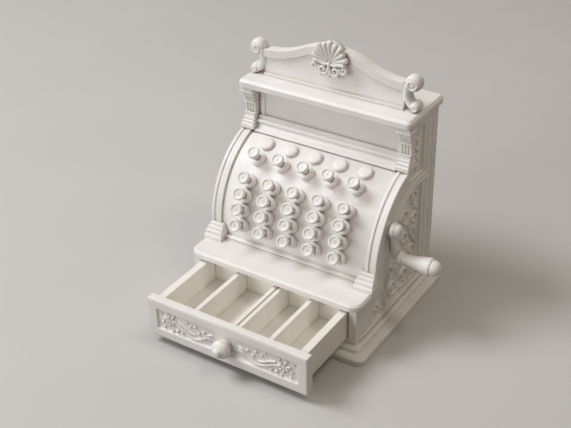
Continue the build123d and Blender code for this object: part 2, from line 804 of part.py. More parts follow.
# The back board reaches down between the runners, where the sill stops it.
with BuildPart() as drawer_back:
    with BuildSketch(Plane.XZ.offset(-(drawer_back_y + drawer_back_thickness))):
        with Locations((0, drawer_bottom + drawer_height / 2)):
            Rectangle(2 * drawer_inner_half, drawer_height)
        heel_bottom = plinth_height + slide_gap
        with Locations((0, (heel_bottom + drawer_bottom) / 2)):
            Rectangle(2 * (drawer_inner_half - drawer_heel_inset), drawer_bottom - heel_bottom)
    extrude(amount=drawer_back_thickness)
save(drawer_back, "drawer_back")

with BuildPart() as drawer_dividers:
    divider_height = drawer_height - drawer_floor_thickness - divider_drop
    divider_middle_y = front_back_y + drawer_inner_length / 2
    with BuildSketch(Plane.XY.offset(drawer_floor_top)):
        for share in divider_place_shares:
            with Locations((share * drawer_inner_half, divider_middle_y)):
                Rectangle(single_divider, drawer_inner_length)
        for facing in (-1, 1):
            double_x = double_place_share * drawer_inner_half + facing * double_spacing / 2
            with Locations((double_x, divider_middle_y)):
                Rectangle(double_divider, drawer_inner_length)
    extrude(amount=divider_height)
save(drawer_dividers, "drawer_dividers")

# ------------------------------------------------------------------ crank
arm_inner_x = body_half_width + boss_height + seat_gap
arm_outer_x = arm_inner_x + arm_thickness
lean = math.radians(crank_lean_angle)
grip_y = crank_y + crank_length * math.sin(lean)
grip_z = crank_z - crank_length * math.cos(lean)
with BuildPart() as crank_axle:
    flange_x = side_inner_x - seat_gap - axle_flange_thickness
    with BuildSketch(Plane.YZ.offset(flange_x)):
        with Locations((crank_y, crank_z)):
            Circle(axle_flange_radius)
    extrude(amount=axle_flange_thickness)
    with BuildSketch(Plane.YZ.offset(flange_x + axle_flange_thickness)):
        with Locations((crank_y, crank_z)):
            Circle(axle_radius)
    extrude(amount=arm_inner_x - flange_x - axle_flange_thickness)
save(crank_axle, "crank_axle")

with BuildPart() as crank_arm:
    with BuildSketch(Plane.YZ.offset(arm_inner_x)):
        middle_y = (crank_y + grip_y) / 2
        middle_z = (crank_z + grip_z) / 2
        with Locations((middle_y, middle_z)):
            SlotCenterToCenter(crank_length, arm_width, rotation=90 + crank_lean_angle)
    extrude(amount=arm_thickness)
    with BuildSketch(Plane.YZ.offset(arm_inner_x)):
        with Locations((crank_y, crank_z)):
            Circle(hub_radius)
    extrude(amount=hub_height)
    chamfer(crank_arm.faces().sort_by(Axis.X)[-1].edges(), hub_bevel)
    with BuildSketch(Plane.YZ.offset(arm_outer_x)):
        with Locations((grip_y, grip_z)):
            Circle(pin_radius)
    extrude(amount=pin_length_share * grip_length)
save(crank_arm, "crank_arm")

with BuildPart() as crank_grip:
    grip_seat = Plane(origin=(arm_outer_x + seat_gap, grip_y, grip_z), x_dir=(0, 1, 0), z_dir=(1, 0, 0))
    add(turned(grip_seat, [(s * grip_length, r * grip_radius) for s, r in grip_turning_shares]))
    with BuildSketch(grip_seat):
        Circle(pin_radius + bearing_gap)
    extrude(amount=grip_bore_share * grip_length, mode=Mode.SUBTRACT)
save(crank_grip, "crank_grip")

# ------------------------------------------------------------------ keys
for row, (row_angle, row_tilt) in enumerate(zip(key_row_angles, key_row_tilt_angles)):
    for column in range(key_columns):
        key_seat = bank_plane(row_angle, row_tilt, key_column_x(column))
        cap_foot = key_reach - key_cap_height
        head_top = -head_depth(row_angle, row_tilt)
        with BuildPart() as key:
            with BuildSketch(key_seat.offset(cap_foot)):
                RegularPolygon(key_cap_radius, turned_sides)
            extrude(amount=key_cap_height)
            with BuildSketch(key_seat.offset(key_reach)):
                RegularPolygon(key_cap_radius - key_rim_width, turned_sides)
            extrude(amount=-key_dish_depth, mode=Mode.SUBTRACT)
            with BuildSketch(key_seat.offset(cap_foot)):
                Rectangle(key_stem, key_stem)
            extrude(amount=-(cap_foot - head_top))
            with BuildSketch(key_seat.offset(head_top)):
                Rectangle(key_head, key_head)
            extrude(amount=-key_head_height)
        save(key, f"key_r{row + 1}_c{column + 1}")
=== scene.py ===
"""The look of a table-top resin miniature of an old counter till.

Metres throughout unless a name says mm; +Z up, the front faces -Y, the crank is on +X.
"""

import logging
import math
from dataclasses import dataclass, field
from enum import Enum

import bpy
import numpy as np
from mathutils import Matrix, Vector

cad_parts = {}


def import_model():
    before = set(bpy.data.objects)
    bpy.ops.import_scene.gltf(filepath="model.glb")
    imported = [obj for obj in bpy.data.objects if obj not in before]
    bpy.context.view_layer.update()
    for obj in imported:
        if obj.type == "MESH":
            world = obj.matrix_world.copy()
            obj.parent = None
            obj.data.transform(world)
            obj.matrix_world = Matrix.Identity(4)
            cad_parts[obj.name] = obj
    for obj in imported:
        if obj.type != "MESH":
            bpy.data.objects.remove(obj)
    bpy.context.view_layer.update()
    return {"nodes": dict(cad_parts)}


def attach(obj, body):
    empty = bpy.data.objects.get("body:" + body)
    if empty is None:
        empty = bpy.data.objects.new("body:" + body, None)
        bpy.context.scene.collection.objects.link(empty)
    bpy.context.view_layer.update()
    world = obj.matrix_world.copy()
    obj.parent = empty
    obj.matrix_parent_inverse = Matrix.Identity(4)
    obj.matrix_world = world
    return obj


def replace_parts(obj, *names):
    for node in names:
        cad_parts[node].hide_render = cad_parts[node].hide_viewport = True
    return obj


LOG = logging.getLogger("till")
MM = 0.001
Table = tuple[tuple[float, ...], ...]


# ---------------------------------------------------------------- colours and shader nodes


def srgb(code: str) -> tuple[float, float, float, float]:
    """Turns a display colour into the linear colour a shader takes.

    Args:
        code: The colour as "#rrggbb".

    Returns:
        Linear red, green, blue and an alpha of 1.
    """
    shares = [int(code[i : i + 2], 16) / 255 for i in (1, 3, 5)]
    linear = [s / 12.92 if s <= 0.04045 else ((s + 0.055) / 1.055) ** 2.4 for s in shares]
    return (*linear, 1.0)


def add_node(tree: bpy.types.NodeTree, kind: str, settings: dict | None = None, **inputs):
    """Adds one node, sets it and links it.

    Args:
        tree: The node tree.
        kind: The node's type name, without the "ShaderNode" in front.
        settings: Attributes to set on the node.
        **inputs: Socket values by name with "_" for a space, or "i0", "i1" by place. An output
            socket is linked and anything else becomes the value.

    Returns:
        The new node.
    """
    node = tree.nodes.new("ShaderNode" + kind)
    for name, value in (settings or {}).items():
        setattr(node, name, value)
    for name, value in inputs.items():
        place = name[1:]
        socket = node.inputs[int(place)] if place.isdigit() else node.inputs[name.replace("_", " ")]
        if isinstance(value, bpy.types.NodeSocket):
            tree.links.new(value, socket)
        else:
            socket.default_value = value
    return node


def new_material(name: str) -> tuple[bpy.types.Material, bpy.types.NodeTree]:
    """Makes an empty material.

    Args:
        name: Its name.

    Returns:
        The material and its node tree.
    """
    material = bpy.data.materials.new(name)
    material.use_nodes = True
    material.node_tree.nodes.clear()
    return material, material.node_tree


def seen(tree: bpy.types.NodeTree) -> bpy.types.NodeSocket:
    """Whether a ray shows the stage, straight or by reflection, and doesn't light the till.

    Args:
        tree: The node tree that asks.

    Returns:
        A socket with 1 for camera, glossy and transmission rays, else 0.
    """
    path = add_node(tree, "LightPath").outputs
    larger = {"operation": "MAXIMUM"}
    bounced = add_node(tree, "Math", larger, i0=path["Is Glossy Ray"], i1=path["Is Transmission Ray"])
    return add_node(tree, "Math", larger, i0=path["Is Camera Ray"], i1=bounced.outputs[0]).outputs[0]


@dataclass(frozen=True)
class ResinFinish:
    """Polyester resin cast in a soft mould, painted off-white, with painted shade darkening its hollows.

    Attributes:
        name: What the material is called.
        colour: The paint's colour.
        painted_shade_colour: The painted shade's colour, that it tends to in corners and undercuts.
        painted_shade_strength: How far it tends to that colour, 0 to 1.
        painted_shade_reach_mm: How wide a corner counts as a hollow for the painted shade.
        roughness: The surface's mean roughness.
        dull_step: How much rougher the grain's tops are.
        sheen_step: How much smoother its troughs are.
        cloud_mm: Size of the slow change in tone.
        cloud_tone: The darkest tone, as a share of the colour.
        grain_mm: Size of the fine casting texture.
        grain_depth_mm: Height of that texture.
        pit_mm: Spacing of the pinholes that air bubbles leave.
        pit_depth: Their depth, as a multiple of the grain's.
        scatter_mm: How far light spreads under the surface.
    """

    # To the eye: an even, soft white with a low sheen, rounded edges and a faint tooth, a few
    # pinholes, and warm grey painted shade in every groove. A real casting's grain is
    # about 0.1 mm, which is too fine to show, so it is drawn at 0.45 mm.
    name: str
    colour: str = "#f5f3f0"
    # Painted shade in hollows: its colour, how strongly it darkens and how wide a corner it reaches.
    painted_shade_colour: str = "#b3a594"
    painted_shade_strength: float = 0.55
    painted_shade_reach_mm: float = 1.6
    roughness: float = 0.46
    dull_step: float = 0.09
    sheen_step: float = 0.07
    cloud_mm: float = 9.0
    cloud_tone: float = 0.93
    grain_mm: float = 0.45
    grain_depth_mm: float = 0.012
    pit_mm: float = 1.9
    pit_depth: float = 2.2
    scatter_mm: float = 0.9

    def build(self) -> bpy.types.Material:
        """Makes the material.

        Returns:
            The finished material.
        """
        material, tree = new_material(self.name)
        place = add_node(tree, "TexCoord").outputs["Object"]
        # Painted shade: the colour darkens in corners and hollows that ambient occlusion finds.
        base = self.paint_shade_in_hollows(tree, self.tint(tree, place))
        grain = add_node(
            tree, "TexNoise", Vector=place, Scale=1 / (self.grain_mm * MM), Detail=5.0, Roughness=0.62
        ).outputs["Fac"]
        sheen = add_node(
            tree,
            "MapRange",
            Value=grain,
            From_Min=0.25,
            From_Max=0.75,
            To_Min=self.roughness - self.sheen_step,
            To_Max=self.roughness + self.dull_step,
        )
        shader = add_node(
            tree,
            "BsdfPrincipled",
            Base_Color=base,
            Roughness=sheen.outputs["Result"],
            IOR=1.5,
            Metallic=0.0,
            Subsurface_Weight=0.12,
            Subsurface_Radius=(1.0, 0.72, 0.5),
            Subsurface_Scale=self.scatter_mm * MM,
            Normal=self.tooth(tree, place, grain),
        )
        add_node(tree, "OutputMaterial", Surface=shader.outputs["BSDF"])
        return material

    def tint(self, tree: bpy.types.NodeTree, place: bpy.types.NodeSocket) -> bpy.types.NodeSocket:
        """The paint's colour with its slow clouds.

        Args:
            tree: The material's node tree.
            place: The point on the object.

        Returns:
            The colour.
        """
        clouds = add_node(
            tree, "TexNoise", Vector=place, Scale=1 / (self.cloud_mm * MM), Detail=4.0, Roughness=0.6
        )
        tone = add_node(
            tree,
            "MapRange",
            Value=clouds.outputs["Fac"],
            From_Min=0.3,
            From_Max=0.7,
            To_Min=self.cloud_tone,
            To_Max=1.0,
        )
        mix = {"data_type": "RGBA", "blend_type": "MULTIPLY"}
        return add_node(tree, "Mix", mix, i0=1.0, i6=srgb(self.colour), i7=tone.outputs["Result"]).outputs[2]

    def paint_shade_in_hollows(self, tree: bpy.types.NodeTree, tint: bpy.types.NodeSocket) -> bpy.types.NodeSocket:
        """Darkens a colour in the hollows.

        Args:
            tree: The material's node tree.
            tint: The colour.

        Returns:
            The colour with the wash.
        """
        # Painted shade: ambient occlusion darkens the colour in corners, grooves and undercuts, where shade
        # falls.
        crevice = add_node(
            tree, "AmbientOcclusion", {"samples": 8, "only_local": False}, Distance=self.painted_shade_reach_mm * MM
        )
        hollow = add_node(
            tree,
            "MapRange",
            Value=crevice.outputs["AO"],
            From_Min=0.15,
            From_Max=0.85,
            To_Min=self.painted_shade_strength,
            To_Max=0.0,
        )
        mix = {"data_type": "RGBA", "blend_type": "MIX"}
        dark = srgb(self.painted_shade_colour)
        return add_node(tree, "Mix", mix, i0=hollow.outputs["Result"], i6=tint, i7=dark).outputs[2]

    def tooth(
        self, tree: bpy.types.NodeTree, place: bpy.types.NodeSocket, grain: bpy.types.NodeSocket
    ) -> bpy.types.NodeSocket:
        """The casting's grain and pinholes.

        Args:
            tree: The material's node tree.
            place: The point on the object.
            grain: The grain's height.

        Returns:
            The surface direction.
        """
        pits = add_node(
            tree, "TexVoronoi", {"feature": "F1"}, Vector=place, Scale=1 / (self.pit_mm * MM), Randomness=1.0
        )
        depth = add_node(
            tree,
            "MapRange",
            {"interpolation_type": "SMOOTHSTEP"},
            Value=pits.outputs["Distance"],
            From_Min=0.03,
            From_Max=0.13,
            To_Min=-self.pit_depth,
            To_Max=0.0,
        )
        relief = add_node(tree, "Math", {"operation": "ADD"}, i0=grain, i1=depth.outputs["Result"])
        bump = add_node(
            tree,
            "Bump",
            Strength=0.7,
            Distance=self.grain_depth_mm * MM,
            Height=relief.outputs["Value"],
        )
        return bump.outputs["Normal"]


class Finish(Enum):
    """The resin as it looks in each part of the till.

    CASE is the plain casting. CARVED has more painted shade in its hollows. INSIDE is the drawer's box,
    a lighter, warmer copy with less painted shade, painted light for its shaded inside. HANDLED is what
    fingers rub, a little smoother and greyer.
    """

    CASE = ResinFinish("resin_case")
    # CARVED: stronger, wider painted shade in the carving's hollows.
    CARVED = ResinFinish("resin_carved", painted_shade_strength=0.95, painted_shade_reach_mm=1.8, roughness=0.5)
    # INSIDE: a lighter, warmer copy of the resin, painted light for the drawer's shaded box, with less
    # painted shade.
    INSIDE = ResinFinish("resin_inside", colour="#fbf8f1", painted_shade_strength=0.3, roughness=0.56)
    HANDLED = ResinFinish("resin_handled", colour="#f2f0ec", painted_shade_strength=0.5, roughness=0.42)


@dataclass
class Paints:
    """Makes each finish once and hands it out.

    Attributes:
        made: The materials made so far.
    """

    made: dict[Finish, bpy.types.Material] = field(default_factory=dict)

    def get(self, finish: Finish) -> bpy.types.Material:
        """Returns the finish's material, made on first use.

        Args:
            finish: The finish wanted.

        Returns:
            Its material.
        """
        if finish not in self.made:
            self.made[finish] = finish.value.build()
        return self.made[finish]


# ---------------------------------------------------------------- meshes and carved relief


def mesh_object(name: str, points: list, faces: list) -> bpy.types.Object:
    """Makes a smooth mesh object in the scene.

    Args:
        name: The new object's name.
        points: Its points, in metres.
        faces: Its faces, as places in the list of points.

    Returns:
        The new object.
    """
    mesh = bpy.data.meshes.new(name)
    mesh.from_pydata(points, [], faces)
    mesh.polygons.foreach_set("use_smooth", [True] * len(mesh.polygons))
    made = bpy.data.objects.new(name, mesh)
    bpy.context.scene.collection.objects.link(made)
    return made


@dataclass(frozen=True)
class Stroke:
    """A rounded ridge along a line, in panel millimetres.

    Attributes:
        line: Points of its middle line.
        widths: Half widths along it, spread evenly.
        height: How proud it stands where it is widest.
    """

    line: np.ndarray
    widths: tuple[float, ...]
    height: float


def curve_through(points: Table | list, steps: int = 14) -> np.ndarray:
    """A smooth line through a few points.

    Args:
        points: The points to pass through.
        steps: Samples between two points.

    Returns:
        The samples, one row each.
    """
    p = np.array(points, float)
    p = np.vstack([2 * p[0] - p[1], p, 2 * p[-1] - p[-2]])
    rows = []
    for a, b, c, d in zip(p, p[1:], p[2:], p[3:]):
        for t in np.linspace(0, 1, steps, endpoint=False):
            square, cube = 2 * a - 5 * b + 4 * c - d, 3 * b - a - 3 * c + d
            rows.append(0.5 * (2 * b + (c - a) * t + square * t**2 + cube * t**3))
    rows.append(p[-2])
    return np.array(rows)


def volute(
    centre: tuple[float, float], radius: float, start_deg: float, turns: float, inner: float = 0.25
) -> np.ndarray:
    """A spiral that winds in to its centre.

    Args:
        centre: The eye of the spiral.
        radius: Radius where it starts.
        start_deg: Direction of its start, from the eye.
        turns: Turns it makes, negative for clockwise.
        inner: Share of the radius left at its end.

    Returns:
        The samples, one row each.
    """
    t = np.linspace(0, 1, 40)
    r = radius * (inner + (1 - inner) * (1 - t) ** 1.2)
    angle = np.radians(start_deg) + 2 * math.pi * turns * t
    return np.stack([centre[0] + r * np.cos(angle), centre[1] + r * np.sin(angle)], axis=1)


def leaf(
    root: tuple[float, float], direction_deg: float, length: float, lobes: int, curl: float, height: float
) -> list[Stroke]:
    """An acanthus leaf: a curled rib with lobes down both sides.

    Args:
        root: Where it grows from.
        direction_deg: The way it sets off.
        length: How long its rib is.
        lobes: Lobes on each side.
        curl: Degrees its rib turns through, left if positive.
        height: How proud it stands.

    Returns:
        The leaf's strokes.
    """
    t = np.linspace(0, 1, 16)
    heading = np.radians(direction_deg + curl * t)
    step = length / (len(t) - 1)
    x = root[0] + np.concatenate([[0], np.cumsum(np.cos(heading[:-1]) * step)])
    y = root[1] + np.concatenate([[0], np.cumsum(np.sin(heading[:-1]) * step)])
    rib = np.stack([x, y], axis=1)
    strokes = [Stroke(rib, (0.10 * length, 0.11 * length, 0.05 * length), height)]
    for i in range(lobes):
        share = (i + 0.6) / (lobes + 0.4)
        at = rib[int(share * 15)]
        ahead = direction_deg + curl * share
        reach = length * 0.36 * (1 - 0.5 * share)
        for hand in (-1, 1):
            line = [at]
            for bend in (62, 44, 22):
                angle = math.radians(ahead + hand * bend)
                line.append(line[-1] + reach / 3 * np.array([math.cos(angle), math.sin(angle)]))
            widths = (0.05 * length, 0.085 * length, 0.06 * length)
            strokes.append(Stroke(curve_through(line, 5), widths, 0.8 * height))
    return strokes


def berry(x: float, y: float, radius: float, height: float | None = None) -> Stroke:
    """A round bead.

    Args:
        x: Its place across the panel.
        y: Its place up the panel.
        radius: Its radius.
        height: How proud it stands, its radius if not given.

    Returns:
        The bead as a stroke of one point.
    """
    return Stroke(np.array([[x, y]]), (radius,), radius if height is None else height)


@dataclass(frozen=True)
class Panel:
    """A flat field that ornament stands on.

    Attributes:
        origin_mm: The point (0, 0) of the panel.
        across: Unit direction of its first coordinate.
        up: Unit direction of its second coordinate.
        out: Unit direction the ornament stands out.
    """

    origin_mm: tuple[float, float, float]
    across: tuple[float, float, float]
    up: tuple[float, float, float]
    out: tuple[float, float, float]

    def relief(
        self, name: str, strokes: list[Stroke], step_mm: float, sink_mm: float = 0.06, least_mm: float = 0.02
    ) -> bpy.types.Object:
        """Raises the strokes from the panel as one soft-edged skin.

        Args:
            name: The new object's name.
            strokes: What to raise.
            step_mm: Grid spacing.
            sink_mm: How far the skin's edge lies under the panel's face.
            least_mm: The height from which a point belongs to the skin.

        Returns:
            The new object, in the row frame.
        """
        every = np.vstack([s.line for s in strokes])
        pad = max(max(s.widths) for s in strokes) + 2 * step_mm
        low, high = every.min(0) - pad, every.max(0) + pad
        u = np.arange(low[0], high[0], step_mm)
        v = np.arange(low[1], high[1], step_mm)
        grid = np.stack(np.meshgrid(u, v, indexing="ij"), axis=-1)
        height = np.zeros(grid.shape[:2])
        for s in strokes:
            shares = np.linspace(0, 1, len(s.line)) if len(s.line) > 1 else np.array([0.0])
            widths = np.interp(shares, np.linspace(0, 1, len(s.widths)), s.widths)
            nearest = np.full(height.shape, 9.0)
            peak = np.zeros(height.shape)
            for point, width in zip(s.line, widths):
                gap = ((grid - point) ** 2).sum(-1) / width**2
                closer = gap < nearest
                nearest = np.where(closer, gap, nearest)
                peak = np.where(closer, s.height * width / max(s.widths), peak)
            height = np.maximum(height, peak * np.sqrt(np.clip(1 - nearest, 0, 1)))
        p = np.pad(height, 1, mode="edge")
        height = (4 * p[1:-1, 1:-1] + p[:-2, 1:-1] + p[2:, 1:-1] + p[1:-1, :-2] + p[1:-1, 2:]) / 8
        used = height > least_mm
        keep = used[:-1, :-1] | used[1:, :-1] | used[:-1, 1:] | used[1:, 1:]
        index = np.arange(height.size).reshape(height.shape)
        faces = np.stack([index[:-1, :-1], index[1:, :-1], index[1:, 1:], index[:-1, 1:]], axis=-1)[keep]
        points = self.place(grid[..., 0], grid[..., 1], height - sink_mm).reshape(-1, 3)
        kept, fresh = np.unique(faces, return_inverse=True)
        faces = fresh.reshape(faces.shape)
        if self.mirrored:
            faces = faces[:, ::-1]
        return mesh_object(name, points[kept].tolist(), faces.tolist())

    def place(self, across: np.ndarray, up: np.ndarray, out: np.ndarray) -> np.ndarray:
        """Turns panel millimetres into points of the row frame.

        Args:
            across: First coordinates.
            up: Second coordinates.
            out: Distances from the panel's face.

        Returns:
            The points in metres, along a last axis of three.
        """
        point = np.array(self.origin_mm)
        for reach, way in ((across, self.across), (up, self.up), (out, self.out)):
            point = point + np.asarray(reach)[..., None] * np.array(way)
        return point * MM

    @property
    def mirrored(self) -> bool:
        """Whether the panel's directions are left-handed."""
        return float(np.dot(np.cross(self.across, self.up), self.out)) < 0


@dataclass
class Skin:
    """Smooth closed skins on one panel, gathered into one mesh.

    Attributes:
        name: The new object's name.
        panel: The panel they stand on.
        points: Their points so far.
        faces: Their faces so far.
    """

    name: str
    panel: Panel
    points: list[list[float]] = field(default_factory=list)
    faces: list[tuple[int, ...]] = field(default_factory=list)

    def add(self, rings: np.ndarray) -> None:
        """Joins rings of points, and closes both ends.

        Args:
            rings: The points, by ring, place in the ring and coordinate.
        """
        start = len(self.points)
        count, around = rings.shape[:2]
        self.points += rings.reshape(-1, 3).tolist()
        made = [tuple(range(start + around - 1, start - 1, -1))]
        for i in range(count - 1):
            low = start + i * around
            for j in range(around):
                k = (j + 1) % around
                made.append((low + j, low + k, low + around + k, low + around + j))
        made.append(tuple(range(start + (count - 1) * around, start + count * around)))
        self.faces += [face[::-1] for face in made] if self.panel.mirrored else made

    def lathe(
        self, outline: Table | np.ndarray, centre: tuple[float, float] = (0.0, 0.0), around: int = 56
    ) -> None:
        """Turns an outline about the panel's outward direction.

        Args:
            outline: Rows of distance from the panel and radius.
            centre: Where the axis meets the panel.
            around: Points round each ring.
        """
        turn = np.linspace(0, 2 * math.pi, around, endpoint=False)
        outline = np.asarray(outline, float)
        out, radius = outline[:, :1], np.clip(outline[:, 1:], 0.01, None)
        across = centre[0] + radius * np.cos(turn)
        up = centre[1] + radius * np.sin(turn)
        self.add(self.panel.place(across, up, out + 0 * across))

    def cord(
        self, line: np.ndarray, radii: tuple[float, ...], lift: float = 0.0, flat: float = 1.0
    ) -> None:
        """Lays a tapered round cord along a line of the panel.

        Args:
            line: Its middle line.
            radii: Radii along it, spread evenly.
            lift: How far its middle lies outside the panel's face.
            flat: Its height as a share of its width.
        """
        shares = np.linspace(0, 1, len(line))
        radius = np.interp(shares, np.linspace(0, 1, len(radii)), radii)
        ends = np.clip(np.minimum(shares, 1 - shares) / 0.04, 0.15, 1) ** 0.5
        radius = (radius * ends)[:, None]
        ahead = np.gradient(line, axis=0)
        ahead /= np.linalg.norm(ahead, axis=1, keepdims=True)
        turn = np.linspace(0, 2 * math.pi, 16, endpoint=False)
        across = line[:, :1] - ahead[:, 1:] * radius * np.cos(turn)
        up = line[:, 1:] + ahead[:, :1] * radius * np.cos(turn)
        self.add(self.panel.place(across, up, lift + flat * radius * np.sin(turn)))

    def build(self) -> bpy.types.Object:
        """Makes the object.

        Returns:
            The new object, in the row frame.
        """
        return mesh_object(self.name, self.points, self.faces)


# ---------------------------------------------------------------- the till


class Hand(Enum):
    """The two hands of a mirrored pair."""

    LEFT = -1
    RIGHT = 1

    @property
    def label(self) -> str:
        """The hand as it stands in a piece's name."""
        return self.name.lower()


@dataclass(frozen=True)
class Piece:
    """What every sub-assembly of the till can do.

    Attributes:
        nodes: The CAD nodes by name.
        paints: The finishes.
        title: The sub-assembly's name in the log.
    """

    nodes: dict[str, bpy.types.Object]
    paints: Paints
    title: str = "piece"

    def dress(self) -> None:
        """Adds this sub-assembly's looks."""
        raise NotImplementedError

    def paint(self, finish: Finish, *names: str) -> None:
        """Gives CAD nodes a finish.

        Args:
            finish: The finish.
            *names: The nodes.
        """
        for name in names:
            data = self.nodes[name].data
            data.materials.clear()
            data.materials.append(self.paints.get(finish))
            LOG.info("%s: %s painted", self.title, name)

    def soften(self, radius_mm: float, *names: str, segments: int = 3) -> None:
        """Rounds the edges of CAD nodes as a mould leaves them.

        Args:
            radius_mm: The rounding's width.
            *names: The nodes.
            segments: Steps around each edge.
        """
        for name in names:
            node = self.nodes[name]
            weld = node.modifiers.new("weld", "WELD")
            weld.merge_threshold = 0.002 * MM
            bevel = node.modifiers.new("soften", "BEVEL")
            bevel.width = radius_mm * MM
            bevel.segments = segments
            bevel.limit_method = "ANGLE"
            bevel.angle_limit = math.radians(32)
            bevel.harden_normals = True
            bevel.use_clamp_overlap = True

    def attach(self, made: bpy.types.Object, body: str, finish: Finish) -> bpy.types.Object:
        """Paints an added piece and lets it ride on a body.

        Args:
            made: The piece.
            body: The body it moves with.
            finish: Its finish.

        Returns:
            The same piece.
        """
        made.data.materials.clear()
        made.data.materials.append(self.paints.get(finish))
        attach(made, body)
        LOG.info("%s: %s rides on %s", self.title, made.name, body)
        return made

    def swap(self, made: bpy.types.Object, body: str, finish: Finish, *names: str) -> None:
        """Shows a finer piece in place of CAD nodes.

        Args:
            made: The finer piece.
            body: The body it moves with.
            finish: Its finish.
            *names: The nodes it stands for.
        """
        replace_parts(self.attach(made, body, finish), *names)


@dataclass(frozen=True)
class Case(Piece):
    """The plinth, walls, ledge, pilasters, header and cap.

    Attributes:
        wall_edge_mm: Rounding of the flat walls' edges.
        slab_edge_mm: Rounding of plinth, ledge and cap.
        moulded_edge_mm: Rounding of the small mouldings.
        pilaster_x_mm: A pilaster's middle, from the till's middle.
        pilaster_half_mm: Half of the width that its beads go round.
        pilaster_front_mm: The front that its beads go round.
        pilaster_back_mm: Where its beads end.
        flare: How far a bead widens for each millimetre that it stands out.
        beads: Height, reach to the front and radius of each bead.
    """

    title: str = "case"
    wall_edge_mm: float = 0.35
    slab_edge_mm: float = 0.55
    moulded_edge_mm: float = 0.3
    pilaster_x_mm: float = 34.2
    pilaster_half_mm: float = 2.2
    pilaster_front_mm: float = 10.5
    pilaster_back_mm: float = 13.2
    flare: float = 0.22
    beads: Table = (
        (76.1, 2.6, 0.5), (74.3, 1.6, 0.5), (72.8, 0.8, 0.45), (71.0, 0.4, 0.4), (66.3, 0.4, 0.4),
    )  # fmt: skip

    def dress(self) -> None:
        """Paints and softens the plain case, and lays the pilasters' beads."""
        walls = ("left_side", "right_side", "back_panel", "ledge_rail", "header_panel")
        slabs = ("base_plinth", "ledge", "cap_slab")
        mouldings = (
            "bank_foot", "arch_band_left", "arch_band_right", "foot_block_left", "foot_block_right",
            "pilaster_left", "pilaster_right", "bank_cornice",
        )  # fmt: skip
        self.paint(Finish.CASE, *walls, *slabs, *mouldings, "front_sill", "drawer_runners")
        self.soften(self.wall_edge_mm, *walls)
        self.soften(self.slab_edge_mm, *slabs, segments=4)
        self.soften(self.moulded_edge_mm, *mouldings)
        for hand in Hand:
            self.attach(self.pilaster_beads(hand), "case", Finish.CASE)

    def pilaster_beads(self, hand: Hand) -> bpy.types.Object:
        """Beads round a pilaster's front and flanks.

        Args:
            hand: Which pilaster.

        Returns:
            The new object.
        """
        skin = Skin(f"pilaster_beads_{hand.label}", Panel((0, 0, 0), (1, 0, 0), (0, 1, 0), (0, 0, 1)))
        x, back = self.pilaster_x_mm * hand.value, self.pilaster_back_mm
        for z, reach, radius in self.beads:
            half = self.pilaster_half_mm + self.flare * reach
            front = self.pilaster_front_mm - reach
            corners = [(x - half, back), (x - half, front), (x + half, front), (x + half, back)]
            runs = [np.linspace(a, b, 12, endpoint=False) for a, b in zip(corners, corners[1:])]
            skin.cord(np.vstack(runs), (radius,), lift=z)
        return skin.build()


